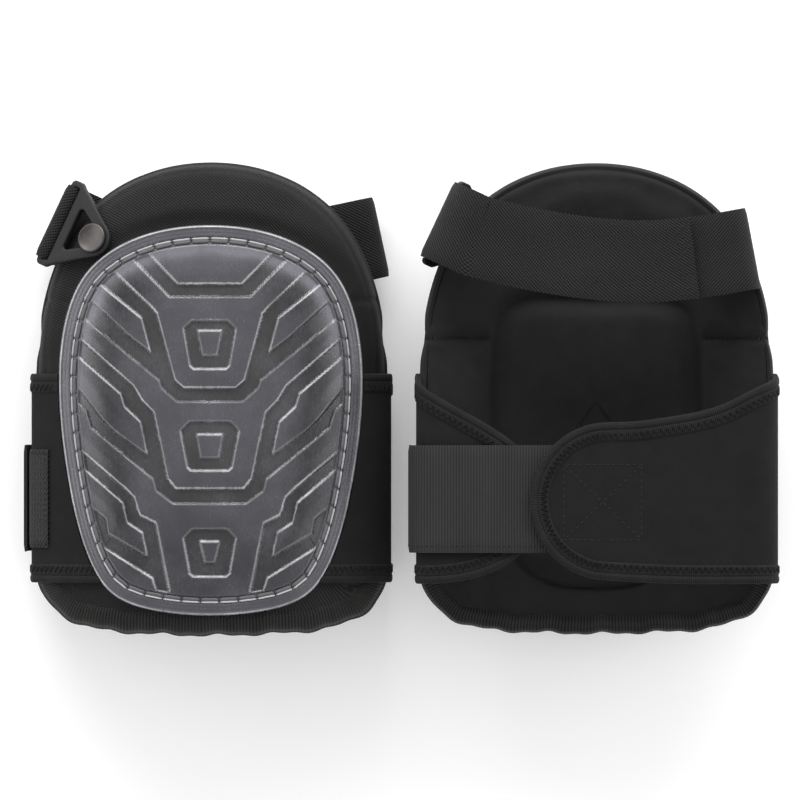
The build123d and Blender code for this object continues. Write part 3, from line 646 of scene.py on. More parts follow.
FINISHES = {
    "cover_fabric": twill_finish("cover twill", (0.003, 0.003, 0.003), (0.026, 0.026, 0.0255)),
    "neoprene": jersey_finish("neoprene jersey", (0.0075, 0.0075, 0.0078), (0.0185, 0.0185, 0.019)),
    "elastic_binding": elastic_finish("elastic binding", (0.005, 0.005, 0.005), (0.024, 0.024, 0.024), 0.9),
    "ribbed_tape": elastic_finish("ribbed tape", (0.0015, 0.0015, 0.0015), (0.034, 0.034, 0.033), 1.5),
    "black_webbing": webbing_finish("black webbing", (0.0012, 0.0012, 0.0012), (0.024, 0.024, 0.0235)),
    "grey_elastic": elastic_finish("grey elastic", (0.013, 0.013, 0.013), (0.042, 0.042, 0.0415), 1.35),
    "hook_tape": hook_finish("hook tape", (0.0015, 0.0015, 0.0015), (0.022, 0.022, 0.0215)),
    "thread": thread_finish("black thread", (0.0006, 0.0006, 0.0006), (0.006, 0.006, 0.006)),
    "buckle_plastic": plastic_finish("buckle plastic", (0.0055, 0.0055, 0.0057), (0.017, 0.017, 0.0175)),
    "stud_metal": metal_finish("stud metal", (0.05, 0.0465, 0.045), (0.11, 0.103, 0.1)),
    "clear_pvc": pvc_finish("clear pvc", (0.062, 0.061, 0.055), (0.118, 0.114, 0.131), (0.9, 0.9, 0.93)),
    "foam": foam_finish("foam", (0.05, 0.05, 0.05), (0.12, 0.12, 0.12)),
    "gel": gel_finish("gel", (0.05, 0.12, 0.3), (0.1, 0.2, 0.45)),
}
# Pale thread for the cap's cord row: real thread, coloured light partly as a painted highlight on the seam's
# pinched plastic
seam_thread_and_highlight = thread_finish("clear thread and painted highlight", (0.3, 0.3, 0.31), (0.6, 0.6, 0.61))
flat_thread = thread_finish("flat thread", (0.07, 0.07, 0.073), (0.17, 0.168, 0.175))
liner_jersey = jersey_finish("liner jersey", (0.011, 0.011, 0.0113), (0.028, 0.028, 0.0285))


# ---------------------------------------------------------------- pads
class Pad:
    """One pad: where it lies, and the pieces made for it."""

    def __init__(self, side):
        low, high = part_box(f"{side}_cap")
        self.side = side
        self.centre_x = (low.x + high.x) / 2 / MM
        self.turned = side == "left"

    def place(self, points):
        """Points of the pad's own frame, in metres, where the pad lies."""
        p = np.array(points, float).reshape(-1, 3)
        z = PAD_HEIGHT - p[:, 2] if self.turned else p[:, 2]
        return np.stack([p[:, 0] + self.centre_x, p[:, 1], z], 1) * MM

    def body(self, name):
        return f"{self.side}_{name}"

    def piece(self, name, made, slot, replaces=(), rides=None, finish=None):
        """A mesh from ((points, faces), cloth coordinates), all in millimetres in the pad's frame."""
        (points, faces), uv = made
        mesh = bpy.data.meshes.new(f"{self.side}_{name}")
        mesh.from_pydata(self.place(points).tolist(), [], faces)
        work = bmesh.new()
        work.from_mesh(mesh)
        bmesh.ops.recalc_face_normals(work, faces=work.faces)
        work.to_mesh(mesh)
        work.free()
        layer = mesh.uv_layers.new(name=UV_MM)
        corners = np.zeros(len(mesh.loops), int)
        mesh.loops.foreach_get("vertex_index", corners)
        layer.data.foreach_set("uv", np.array(uv, np.float32).reshape(-1, 2)[corners].ravel())
        mesh.polygons.foreach_set("use_smooth", np.ones(len(mesh.polygons), bool))
        mesh.set_sharp_from_angle(angle=math.radians(55))
        mesh.materials.append(finish or FINISHES[slot])
        piece = linked(mesh.name, mesh)
        if replaces:
            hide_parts(*(f"{self.side}_{node}" for node in replaces))
        if rides:
            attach(piece, self.body(rides))
        return piece

    def bend(self, piece, other, start, end):
        """Bakes the piece's placement into its mesh; start and end are in the pad's frame; other is not used.
        """
        a, b = self.place([start, end])
        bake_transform(piece)


def with_middles(uv_rings):
    """Cloth coordinates of rings, with those of the two middle points that shell() adds."""
    return np.vstack([uv_rings.reshape(-1, 2), uv_rings[0].mean(0), uv_rings[-1].mean(0)])


def grid_uv(u, v):
    """Cloth coordinates of a grid, u along it and v across it."""
    return np.stack(np.broadcast_arrays(u[:, None], v[None]), -1).reshape(-1, 2)


def ring_uv(rings):
    """Cloth coordinates that unroll rings outwards from their middle."""
    step = np.linalg.norm(np.diff(rings, axis=0), axis=2)
    reach = np.vstack([np.linalg.norm(rings[:1, :, :2] - rings[0].mean(0)[:2], axis=2), step]).cumsum(0)
    way = unit(rings[rings.shape[0] // 2, :, :2])
    return reach[..., None] * way[None]


def stitches(line, normals, pitch, length, radius, sink=0.3, wide=1.0, blunt=4):
    """Short bent threads laid along a line: rounded beads sunk a little into the cloth."""
    s = along(line)
    at = np.arange(pitch / 2, s[-1], pitch)
    c, n = sampled(line, s, at), sampled(normals, s, at)
    ahead = sampled(line, s, np.minimum(at + 0.4, s[-1]))
    t = unit(ahead - sampled(line, s, np.maximum(at - 0.4, 0)))
    b = np.cross(n, t)
    points, faces, uv = [], [], []
    sides, rows = (6, 5) if blunt == 4 else (12, 9)
    angles = np.arange(sides) * math.tau / sides
    for i in range(len(at)):
        rings = []
        for q in np.linspace(-0.98, 0.98, rows):
            r = radius * math.sqrt(1 - q**blunt)
            lift = -sink * radius - radius * 0.9 * q**blunt
            ring = c[i] + t[i] * q * length / 2 + n[i] * lift
            rings.append(ring + r * (np.cos(angles)[:, None] * n[i] + wide * np.sin(angles)[:, None] * b[i]))
        skin = tube(np.array(rings))
        faces += [[len(points) * rows * sides + k for k in face] for face in skin[1]]
        points.append(skin[0])
        uv.append(np.stack([skin[0] @ t[i], skin[0] @ b[i]], 1))
    return (np.vstack(points), faces), np.vstack(uv)


def thread(line, normals, radius):
    """One five-sided thread along a line."""
    b = np.cross(normals, unit(np.gradient(line, axis=0)))
    angles = np.arange(5) * math.tau / 5
    up, aside = np.cos(angles)[None, :, None], np.sin(angles)[None, :, None]
    rings = line[:, None] + radius * (up * normals[:, None] + aside * b[:, None])
    return tube(rings), grid_uv(along(line), angles * radius)


def joined(parts):
    """Several (skin, uv) pairs as one."""
    points, faces, uv, count = [], [], [], 0
    for (p, f), k in parts:
        points.append(p)
        faces += [[count + i for i in face] for face in f]
        uv.append(k)
        count += len(p)
    return (np.vstack(points), faces), np.vstack(uv)


# ---------------------------------------------------------------- cap
# Raised panels of the cap's relief: the centre ones cross the middle, and only their right half is listed;
# each side one has a mirrored twin.
CENTRE_PANELS = [
    [(0, 53.6), (15, 53.6), (43, 82.6), (0, 100)],
    [
        (0, 48), (18.7, 48), (54.3, 84.4), (62.7, 76.6), (27.1, 42.8), (24.8, 40), (16.4, 9.1),
        (12.2, 5.4), (0, 5.4),
    ],
    [
        (0, -0.7), (15, -0.7), (22, 5.4), (23.4, 9.1), (62.7, 41.4), (82.3, 57.5), (80.4, 45.3),
        (63.6, 30.7), (35.6, 6.3), (31.8, -0.2), (26.2, -5.9), (19.7, -36.7), (15.9, -41.4), (0, -41.4),
    ],
    [
        (0, -48), (16.8, -48), (24.3, -42.4), (26.2, -36.7), (55.2, -12.9), (57.6, -4.9), (64.6, 1.2),
        (78.6, 13.4), (79, -8.1), (62.7, -21.8), (39.3, -41.4), (35.6, -45.2), (32.8, -53.6),
        (25.3, -57.3), (24.3, -62), (18.7, -90.1), (17.5, -99), (0, -99),
    ],
]
SIDE_PANELS = [
    [
        (26.7, 20.8), (31.4, 38.1), (53.4, 55.9), (75.4, 73.7), (79.5, 68), (58, 48.4), (36.5, 28.8),
        (29, 23.2),
    ],
    [
        (28.5, -26), (31.8, -10.1), (39.3, -3), (41.2, 3), (64.6, 23.2), (78.6, 35.3), (75.9, 23.3),
        (64.6, 9.1), (50.5, -8.7), (44.9, -14.3),
    ],
    [
        (28.5, -73.2), (30.9, -61.5), (37.9, -56.9), (40.2, -47.5), (62.2, -28.8), (75.4, -17.6),
        (74.5, -34.2), (59, -47), (48.7, -55.5), (47.7, -62),
    ],
    [(23.9, -90.1), (26.2, -82.6), (53.4, -65.8), (58, -54.5), (66, -40), (70, -100), (23, -99)],
]
# Emblems: the sunk frame's outer line, then the raised window inside it
EMBLEMS = [
    (
        [(0, 36.7), (8.2, 36.7), (11.9, 33.2), (8.9, 16.2), (7.4, 14.7), (0, 14.7)],
        [(0, 32.5), (5.9, 32.5), (3.5, 20.4), (0, 20.4)],
    ),
    (
        [(0, -10.1), (9.4, -10.1), (13.3, -14.3), (10.1, -31), (8.6, -32.5), (0, -32.5)],
        [(0, -15.7), (6.3, -15.7), (4.4, -26.9), (0, -26.9)],
    ),
    (
        [(0, -60.1), (8.2, -60.1), (11.9, -64.1), (8.9, -80.2), (7.4, -81.7), (0, -81.7)],
        [(0, -65.3), (4.9, -65.3), (2.4, -75.6), (0, -75.6)],
    ),
]
PANEL_HEIGHT = 1.25
PANEL_SLOPE = 1.0
RECESS = -0.6
FLANGE_TOP = 0.1
# Two rows of the cap's seam; the cord row's pale colour is partly a painted highlight
CAP_SEAM_ROWS = {
    "cap_seam_cord": (6.3, 0.4, 1.1, -0.5, seam_thread_and_highlight),
    "cap_seam_flat": (7.5, 0.5, 1.9, 0.1, flat_thread),
}
CAP_STITCHES = 57
CREST_WIDTH = 0.22
FAINT_CREST = 0.25
PANEL_CROWN, PANEL_CROWN_REACH = 0.35, 7.0
BAND_REACH = 11.4
CAP_CENTRE = (0.0, -8.0)
RELIEF_START = 10.5
DOME_START, DOME_RUN = 8.4, 1.9
DOME_ROLL, DOME_ROLL_REACH = 0.9, 15.0
UNDERSIDE_GAP = 0.02
SEAM_FLOOR = 0.55


def whole(half):
    """A shape that crosses the middle, from its right half."""
    return list(half) + [(-x, y) for x, y in half[::-1] if x > 0.01]


def inside_distance(points, polygon):
    """How far each point is inside a polygon, negative outside it, and the nearest point on its edge."""
    best = np.full(len(points), 1e9)
    nearest = np.zeros_like(points)
    inside = np.zeros(len(points), bool)
    corners = np.array(polygon, float)
    for a, b in zip(corners, np.roll(corners, -1, 0)):
        edge = b - a
        t = np.clip((points - a) @ edge / (edge @ edge), 0, 1)
        foot = a + t[:, None] * edge
        away = np.linalg.norm(points - foot, axis=1)
        closer = away < best
        best[closer], nearest[closer] = away[closer], foot[closer]
        if a[1] != b[1]:
            crosses = (a[1] > points[:, 1]) != (b[1] > points[:, 1])
            x = a[0] + (points[:, 1] - a[1]) * edge[0] / edge[1]
            inside ^= crosses & (points[:, 0] < x)
    return np.where(inside, best, -best), nearest


def relief_shapes():
    """Every shape of the relief as (polygon, height, side that gets the painted highlight: 1 its upper edge,
    -1 its lower one).
    """
    shapes = [(whole(p), PANEL_HEIGHT, -1) for p in CENTRE_PANELS]
    for p in SIDE_PANELS:
        shapes += [(p, PANEL_HEIGHT, 1), ([(-x, y) for x, y in p], PANEL_HEIGHT, 1)]
    for frame_line, window in EMBLEMS:
        shapes += [(whole(frame_line), -0.8 * PANEL_HEIGHT, -1), (whole(window), 0.7 * PANEL_HEIGHT, 1)]
    return shapes


def sharpen(points, shapes, reach=0.42):
    """Moves the points near a shape's edge on to the top or foot of its slope, for crisp edges."""
    moved = points.copy()
    for polygon, _, _ in shapes:
        d, nearest = inside_distance(moved, polygon)
        for level in (-PANEL_SLOPE / 2, PANEL_SLOPE / 2):
            near = (abs(d - level) < reach) & (abs(d) > 0.12)
            way = (moved[near] - nearest[near]) / d[near][:, None]
            moved[near] = nearest[near] + way * level
            d[near] = level
    return moved


def relief(points, shapes):
    """Height of the relief over the sunk level, how near each point is to a crest (a painted highlight,
    strongest on each shape's highlit side), and how far it is sunk.
    """
    height, crest = np.zeros(len(points)), np.zeros(len(points))
    raised = np.zeros(len(points))
    for polygon, rise, highlight_side in shapes:
        d, nearest = inside_distance(points, polygon)
        step = smooth((d + PANEL_SLOPE / 2) / PANEL_SLOPE)
        height += rise * step
        raised += np.sign(rise) * step
        top = PANEL_SLOPE / 2 * np.sign(rise)
        faces_up = (nearest - points)[:, 1] / np.where(abs(d) < 1e-6, 1e-6, d)
        # Painted highlight: full on the edge that faces the light, faint on the other
        wear_and_highlight = FAINT_CREST + (1 - FAINT_CREST) * smooth(highlight_side * faces_up / 0.5)
        crest = np.maximum(crest, wear_and_highlight * ridge(d, top, CREST_WIDTH))
        if rise == PANEL_HEIGHT:
            height += PANEL_CROWN * smooth(d / PANEL_CROWN_REACH)
    return height, crest, 1 - np.clip(raised, 0, 1)


def rim_height(inset):
    """Height of the cap near its rim: bead, flange with two fine lines, stitched groove and shoulder."""
    bead = 0.35 * ridge(inset, 0.9, 0.7)
    lines = 0.12 * (ridge(inset, 3.0, 0.35) + ridge(inset, 4.6, 0.35))
    groove = -1.15 * smooth((inset - 5.3) / 0.7) * (1 - smooth((inset - 8.2) / 1.6))
    edge = -1.5 * (1 - smooth(inset / 0.8))
    return FLANGE_TOP + bead + lines + groove + edge


def cap_grid(around, inner):
    """Points over the cap's outline from its rim inwards, and how far each is from the rim."""
    line = outline(CAP_HALF, around)
    insets = np.concatenate([np.linspace(0, 1.6, 7), np.linspace(1.9, BAND_REACH, 34)])
    band = line[None] + insets[:, None, None] * inward(line)[None]
    centre = np.array(CAP_CENTRE)
    shares = np.linspace(1, 0.006, inner)[1:] ** 0.9
    core = centre + (band[-1] - centre)[None] * shares[:, None, None]
    reach = np.linalg.norm(band[-1] - centre, axis=1)[None]
    core_inset = insets[-1] + (1 - shares)[:, None] * reach
    inset = np.vstack([np.repeat(insets[:, None], around, 1), core_inset])
    return np.vstack([band, core]), inset.ravel()


def cap_underside(flat):
    """The cap's smooth inner face, on a few of the same rings."""
    rows = [0, 2, 6, 14, 24, 40, *range(60, len(flat), 16), len(flat) - 1]
    under = flat[rows]
    z = front_z(under[..., 0], under[..., 1], COVER_DEPTH - UNDERSIDE_GAP)
    return np.concatenate([under, z[..., None]], 2)


def build_cap_skin(around=700, inner=160):
    """The cap as a closed skin: its relief outside, and smooth where it lies on the cover."""
    flat, inset = cap_grid(around, inner)
    shapes = relief_shapes()
    free = inset > RELIEF_START
    xy = flat.reshape(-1, 2).copy()
    xy[free] = sharpen(xy[free], shapes)
    up, crest, sunk = relief(xy, shapes)
    domed = smooth((inset - DOME_START) / DOME_RUN)
    rolled = -DOME_ROLL * (1 - smooth((inset - 9.0) / DOME_ROLL_REACH))
    height = rim_height(inset) * (1 - domed) + (RECESS + up + rolled) * domed
    z = front_z(xy[:, 0], xy[:, 1]) + height
    top = np.column_stack([xy, z]).reshape(*flat.shape[:2], 3)[::-1]
    under = cap_underside(flat)
    rings = np.concatenate([top, under])
    masks = {}
    for mask_name, values in cap_tones(xy, inset, domed, crest, sunk).items():
        grid = values.reshape(flat.shape[:2])[::-1]
        masks[mask_name] = np.concatenate([grid.ravel(), np.zeros(under.shape[0] * around + 2)])
    return shell(rings), with_middles(rings[..., :2]), masks


def cap_tones(xy, inset, domed, crest, sunk):
    """Where the cap's plastic looks sunk; edge wear with painted highlights on the crests and the rim bead; a
    painted highlight near the seam, stronger towards the top; and painted shade at the sides and the foot.
    """
    # Painted highlight: lighter along the foot of the dome, stronger towards the top
    painted_highlight = ridge(inset, 10.5, 4.0) * domed * smooth((xy[:, 1] + 20) / 90.0)
    # Painted shade: darker at the sides, and towards the foot
    side_shade = ridge(inset, 21.0, 11.0) * smooth((abs(xy[:, 0]) - 14) / 22.0)
    foot_shade = 0.55 * smooth((-25.0 - xy[:, 1]) / 55.0)
    return {
        SUNK: sunk * domed,
        # Edge wear with painted highlights on the crests, and a painted highlight along the rim bead
        EDGE_WEAR_AND_HIGHLIGHT: np.maximum(crest * domed, ridge(inset, 0.7, 0.35)),
        PAINTED_HIGHLIGHT: painted_highlight,
        PAINTED_SHADE: domed * np.maximum(side_shade, foot_shade),
    }


def cap_stitch_line(inset):
    """One row of the cap's seam, on the floor of its groove."""
    line = outline(CAP_HALF, 600)
    line = line + inset * inward(line)
    line = np.vstack([line, line[:1]])
    z = front_z(line[:, 0], line[:, 1]) - SEAM_FLOOR
    points = np.column_stack([line, z])
    normals = np.column_stack([line[:, 0], 0.3 * line[:, 1], z - (PAD_HEIGHT - CAP_RADIUS)])
    return points, unit(normals)


# ---------------------------------------------------------------- padded body
BODY_AROUND = 360
FRONT_EDGE = 6.0
LEG_EDGE = 4.0
WALL_BULGE = 0.9
VOXEL = 5.0
SWELL_PRESSURE = 4.0
SWELL_FRAMES = 20
PUFF_LIMIT = 3.0
SIDE_RESTRAINT = 0.85
PANEL_SEAM = [
    (0, 47.5), (30, 47), (42.5, 41), (47.5, 30), (49, 10),
    (49.5, -20), (47, -50), (36, -77), (18, -86.5), (0, -88),
]
FAR = 99.0
# Depth and width of each seam's groove
LEG_SEAM_CUT = (1.5, 1.7)
FRONT_DART_CUT = (0.9, 0.9)
GUSSET_CUT = (0.55, 0.8)
PILLOW_HEIGHT, PILLOW_REACH = 1.1, 12.0
DART_Y = 28.8
DART_REACH = (50.5, 76.5)
DART_SUNK = 1.0
FRONT_DART_Y = 46.5
GUSSET_INSET = 3.4
FOOT_RIPPLE_Y = -84.0
FOOT_TAPE_TOP_Y = -80.5
FOOT_TAPE_ROWS = 9
FOOT_TAPE_PROUD = 0.95
FOOT_TAPE_SUNK = 0.4
HEM_ROW = 1
LINER_SHARE = 0.8
FOAM_GAP = 0.3
GEL_HALF = (46.0, 58.0)
GEL_MIDDLE_Y = -8.0
GEL_THICKNESS = 8.0
GEL_SQUARENESS = 3.4


def rounded_edge(inset, radius, share):
    """How far a face drops towards its rounded edge."""
    return (radius - np.sqrt(radius**2 - np.maximum(0, radius - inset) ** 2)) * share


def body_outline():
    """The body's outline, drawn in and slightly rippled round the foot."""
    line = outline(PAD_HALF, BODY_AROUND)
    square = inward(line)
    foot = smooth((FOOT_RIPPLE_Y - line[:, 1]) / 12.0)
    ripple = 0.55 * np.sin(line[:, 0] * 0.23 + 0.6) + 0.35 * np.sin(line[:, 0] * 0.51)
    return line + (foot * (1.3 + ripple))[:, None] * square, square


def body_rings():
    """The padded body as rings from the middle of the front, over the edge, to the middle of the leg side."""
    line, square = body_outline()
    near = np.array([18, 15, 12.5, 10, 8, 6, 4.4, 3.2, 2.2, 1.4, 0.8, 0.3, 0.0])
    shares = np.linspace(0.01, 1, 56)[:-1]
    core = (line + near[0] * square)[None] * shares[:, None, None]
    band = line[None] + near[:, None, None] * square[None]
    flat = np.vstack([core, band])
    inset = np.concatenate([np.full(len(core), FAR), near])[:, None]
    x, y = flat[..., 0], flat[..., 1]
    front = front_z(x, y, COVER_DEPTH) - rounded_edge(inset, FRONT_EDGE, 0.75)
    leg = leg_z(x, y) + rounded_edge(inset, LEG_EDGE, 0.9)
    front_rings = np.concatenate([flat, front[..., None]], 2)
    leg_rings = np.concatenate([flat, leg[..., None]], 2)[::-1]
    shares = np.linspace(0, 1, 12)[1:-1]
    wall_z = front[-1][None] * (1 - shares[:, None]) + leg[-1][None] * shares[:, None]
    wall_xy = line[None] - WALL_BULGE * np.sin(math.pi * shares)[:, None, None] * square[None]
    wall = np.concatenate([wall_xy, wall_z[..., None]], 2)
    return front_rings, wall, leg_rings


def simulate_swelling(points, faces):
    """Rest points of a coarse copy of the body, and how far each moves when it is blown up."""
    mesh = bpy.data.meshes.new("swelling")
    mesh.from_pydata((np.array(points) * MM).tolist(), [], faces)
    source = linked("swelling", mesh)
    remesh = source.modifiers.new("Remesh", "REMESH")
    remesh.mode, remesh.voxel_size = "VOXEL", VOXEL * MM
    graph = bpy.context.evaluated_depsgraph_get()
    coarse = bpy.data.meshes.new_from_object(source.evaluated_get(graph))
    cover = linked("swelling_cover", coarse)
    bpy.data.objects.remove(source)
    rest = np.array([v.co for v in coarse.vertices])
    cloth = cover.modifiers.new("Cloth", "CLOTH")
    cloth.settings.use_pressure = True
    cloth.settings.uniform_pressure_force = SWELL_PRESSURE
    cloth.settings.effector_weights.gravity = 0.0
    for number in range(1, SWELL_FRAMES + 1):
        bpy.context.scene.frame_set(number)
    graph = bpy.context.evaluated_depsgraph_get()
    swollen = bpy.data.meshes.new_from_object(cover.evaluated_get(graph))
    moved = np.array([v.co for v in swollen.vertices]) - rest
    bpy.data.objects.remove(cover)
    bpy.context.scene.frame_set(1)
    far = np.linalg.norm(moved, axis=1)
    moved *= (np.minimum(far, PUFF_LIMIT * MM) / np.maximum(far, 1e-9))[:, None]
    return rest / MM, moved / MM


def carried(points, rest, moved, neighbours=8):
    """The coarse copy's movement at other points, from its nearest vertices."""
    tree = KDTree(len(rest))
    for i, p in enumerate(rest):
        tree.insert(p, i)
    tree.balance()
    out = np.zeros_like(points)
    for i, p in enumerate(points):
        found = tree.find_n(p, neighbours)
        weights = np.array([1 / (d + 1.0) ** 2 for _, _, d in found])
        out[i] = weights @ moved[[k for _, k, _ in found]] / weights.sum()
    return out


def cut(gap, depth, width):
    """How far a seam draws the cloth in, at a distance gap from it."""
    return -depth * ridge(gap, 0, width)


def leg_seam_gap(flat):
    """Distance to the nearest seam of the leg side: the panel's or a side dart's."""
    panel = abs(inside_distance(flat[:, :2], outline(PANEL_SEAM, 120))[0])
    side_dart = np.where(abs(flat[:, 0]) > 48, abs(flat[:, 1] - DART_Y), FAR)
    return np.minimum(panel, side_dart)


def cover_freedom(flat):
    """From 0 where the cap or a wing holds the cover to 1 where it's free to swell."""
    cap_line = outline(CAP_HALF, 160)
    clear_of_cap = smooth((-inside_distance(flat[:, :2], cap_line)[0] - 1.0) / 7.0)
    over_wing = smooth((flat[:, 1] - WING_TOP_Y - 2.0) / 10.0)
    return clear_of_cap * over_wing


def front_dart_cut(flat, on_leg):
    """The dart at each side of the cover."""
    x, y = flat[:, 0], flat[:, 1]
    beside = ~on_leg & (abs(x) > 60) & (y > WING_TOP_Y)
    return cut(np.where(beside, abs(y - FRONT_DART_Y), FAR), *FRONT_DART_CUT)


def gusset_cut(flat, on_front):
    """The seam that runs round the cover inside its edge."""
    inset = inside_distance(flat[:, :2], outline(PAD_HALF, 240))[0]
    gusset = np.where(on_front, abs(inset - GUSSET_INSET), FAR)
    return cut(gusset, *GUSSET_CUT) * smooth((flat[:, 1] + 80) / 8.0)


def swell(front, wall, leg):
    """The padded body with its cloth swollen between the seams, which stay drawn in."""
    rings = np.concatenate([front, wall, leg])
    points, faces = shell(rings)
    flat = points[:-2]
    normals = ring_normals(rings).reshape(-1, 3)
    normals *= np.sign((normals * (flat - (0, 0, 30))).sum(1).mean())
    rows = np.repeat(np.arange(rings.shape[0]), rings.shape[1])
    on_leg = rows >= len(front) + len(wall) // 2
    gap = np.where(on_leg, leg_seam_gap(flat), FAR)
    out = np.zeros_like(flat)
    out = carried(flat, *simulate_swelling(points, faces))
    free = np.where(on_leg, smooth(gap / 9.0), cover_freedom(flat))
    upright = 1 - SIDE_RESTRAINT * (normals[:, 0] ** 2 + normals[:, 1] ** 2)
    swelling = (out * normals).sum(1) * free * upright
    pillow = np.where(on_leg, PILLOW_HEIGHT * smooth(gap / PILLOW_REACH), 0.0)
    groove = np.where(on_leg, cut(gap, *LEG_SEAM_CUT), 0.0)
    groove += front_dart_cut(flat, on_leg)
    groove += gusset_cut(flat, rows < len(front))
    moved = flat + normals * (swelling + pillow + groove)[:, None]
    return moved.reshape(rings.shape), normals.reshape(rings.shape)


front_rings, wall_rings, leg_rings = body_rings()
padding, padding_normals = swell(front_rings, wall_rings, leg_rings)
COVER_ROWS = len(front_rings) + len(wall_rings) // 2


def cloth_layer(outer, normals, thickness):
    """A closed layer of cloth, from its outer face inwards."""
    rings = np.concatenate([outer, (outer - normals * thickness)[::-1]])
    uv = ring_uv(outer)
    return shell(rings), with_middles(np.concatenate([uv, uv[::-1]]))


def foam_layer():
    """The foam inside the cover and the liner."""
    depth = np.full(len(padding), COVER_THICKNESS + FOAM_GAP)
    depth[COVER_ROWS:] = LINER_THICKNESS * LINER_SHARE + FOAM_GAP
    rings = padding - padding_normals * depth[:, None, None]
    return shell(rings), with_middles(rings[..., :2])


def gel_layer():
    """The gel pack: a rounded slab that follows the leg side, inside the foam."""
    angles = np.linspace(0, math.tau, 120, endpoint=False)
    way = np.stack([np.cos(angles), np.sin(angles)], 1)
    edge = np.array(GEL_HALF) * np.sign(way) * abs(way) ** (2 / GEL_SQUARENESS)
    rings = []
    shares = np.linspace(0.02, 1, 16)
    for side_of, run in ((1, shares), (-1, shares[::-1])):
        for share in run:
            x, y = (edge * share).T
            y = y + GEL_MIDDLE_Y
            plump = side_of * GEL_THICKNESS / 2 * math.sqrt(max(0.0, 1 - share**8))
            rings.append(np.stack([x, y, leg_z(x, y) + LINER_THICKNESS + GEL_THICKNESS / 2 + plump], 1))
    rings = np.array(rings)
    return shell(rings), with_middles(rings[..., :2])


def foot_binding():
    """The ribbed tape folded over the body's edge round the foot, and the line and normals of its hem."""
    line = outline(PAD_HALF, BODY_AROUND)
    columns = np.flatnonzero(padding[len(front_rings) - 1][:, 1] < FOOT_TAPE_TOP_Y)
    first = len(front_rings) - FOOT_TAPE_ROWS
    last = len(front_rings) + len(wall_rings) + FOOT_TAPE_ROWS - 1
    face = padding[first:last][:, columns]
    out = padding_normals[first:last][:, columns]
    lift = np.full((len(face), 1, 1), FOOT_TAPE_PROUD)
    lift[[0, -1]] *= 0.1
    outer = face + out * lift
    inner = face - out * FOOT_TAPE_SUNK
    section = np.concatenate([outer, inner[::-1]]).transpose(1, 0, 2)
    u = along(line[columns])
    v = along(face[:, len(columns) // 2])
    v = np.concatenate([v, v[::-1]])
    hem = face[HEM_ROW] + out[HEM_ROW] * FOOT_TAPE_PROUD
    return (tube(section), grid_uv(u, v)), (hem, out[HEM_ROW])


# ---------------------------------------------------------------- wings
def wing_sections():
    """The outer faces of the big wing and the small one."""
    radius = CAP_RADIUS - WING_DEPTH
    axis_z = PAD_HEIGHT - CAP_RADIUS
    arc = [(x, axis_z + math.sqrt(radius**2 - x**2), 0) for x in np.arange(44.0, 81.0, 1.0)]
    shoulder = (WING_OUTER_X, axis_z + math.sqrt(radius**2 - WING_OUTER_X**2), WING_SHOULDER)
    big = [*arc, shoulder, (WING_OUTER_X, FLAP_OUTER_Z, FLAP_HEEL), (-60.0, FLAP_OUTER_Z, 0)]
    small_heel = (WING_OUTER_X, SMALL_FLAP_OUTER_Z, SMALL_FLAP_HEEL)
    small = [*arc, shoulder, small_heel, (10.0, SMALL_FLAP_OUTER_Z, 0)]
    return Section(big), Section(small, mirrored=True)


def cap_edge_x(y):
    """Half the cap's width at a height y, with the wing's gap."""
    line = outline(CAP_HALF, 400)
    right = line[line[:, 0] >= 0]
    order = np.argsort(right[:, 1])
    return np.interp(y, right[order, 1], right[order, 0]) + WING_CAP_GAP


def wing_edges(section, top, tip, foot):
    """The wing's edge from the cap, along the top, round the tip and back along the foot, in (distance, y).
    The tip is points in (x, y); top and foot are (x, y) points on the back part."""
    start_top = section.front_at_x(cap_edge_x(WING_TOP_Y))
    start_foot = section.front_at_x(cap_edge_x(WING_FOOT_Y))
    wall = section.at_z(WING_WALL_Z)
    before_wall = wall - WING_WALL_RUN
    upper = [(start_top, WING_TOP_Y), (before_wall, WING_TOP_Y), (wall, WING_TOP_Y - 0.4)]
    upper += [(section.at_x(x), y) for x, y in top]
    lower = [(section.at_x(x), y) for x, y in foot]
    lower += [(wall, WING_FOOT_Y), (before_wall, WING_FOOT_Y), (start_foot, WING_FOOT_Y)]
    round_tip = [(section.at_x(x), y) for x, y in tip]
    upper_line = spline(upper, 160)
    lower_line = spline(lower, 160)
    return np.vstack([upper_line[:-1], round_tip, lower_line[1:]])


def wing_panel(section, edge):
    """The wing's neoprene: a slab between the two halves of its edge, 1 mm inside it."""
    edge = even(edge, 600)
    edge = edge + square_to(edge) * inward_side(edge)
    s = along(edge)
    tip = s[np.argmax(edge[:, 0])]
    upper = even(edge[s <= tip], 150)[:-3]
    lower = even(edge[s >= tip][::-1], 150)[:-3]
    share = np.linspace(0, 1, 44)[None, :, None]
    flat = upper[:, None] * (1 - share) + lower[:, None] * share
    begin = section.front_at_x(cap_edge_x(flat[0, :, 1]))
    fade = np.clip(1 - np.arange(len(flat)) / WING_START_ROWS, 0, 1)[:, None]
    flat[..., 0] += fade * (begin - flat[0, :, 0])[None]
    outer = section.place(flat[..., 0], flat[..., 1], 0.0)
    inner = section.place(flat[..., 0], flat[..., 1], -WING_THICKNESS)
    loops = np.concatenate([outer, inner[:, ::-1]], 1)
    uv = np.concatenate([flat, flat[:, ::-1]], 1)
    return tube(loops), uv.reshape(-1, 2)


def inward_side(edge):
    """1 or -1: which side of its edge line the wing lies on."""
    middle = edge.mean(0)
    towards = ((middle - edge) * square_to(edge)).sum(1).mean()
    return 1.0 if towards > 0 else -1.0


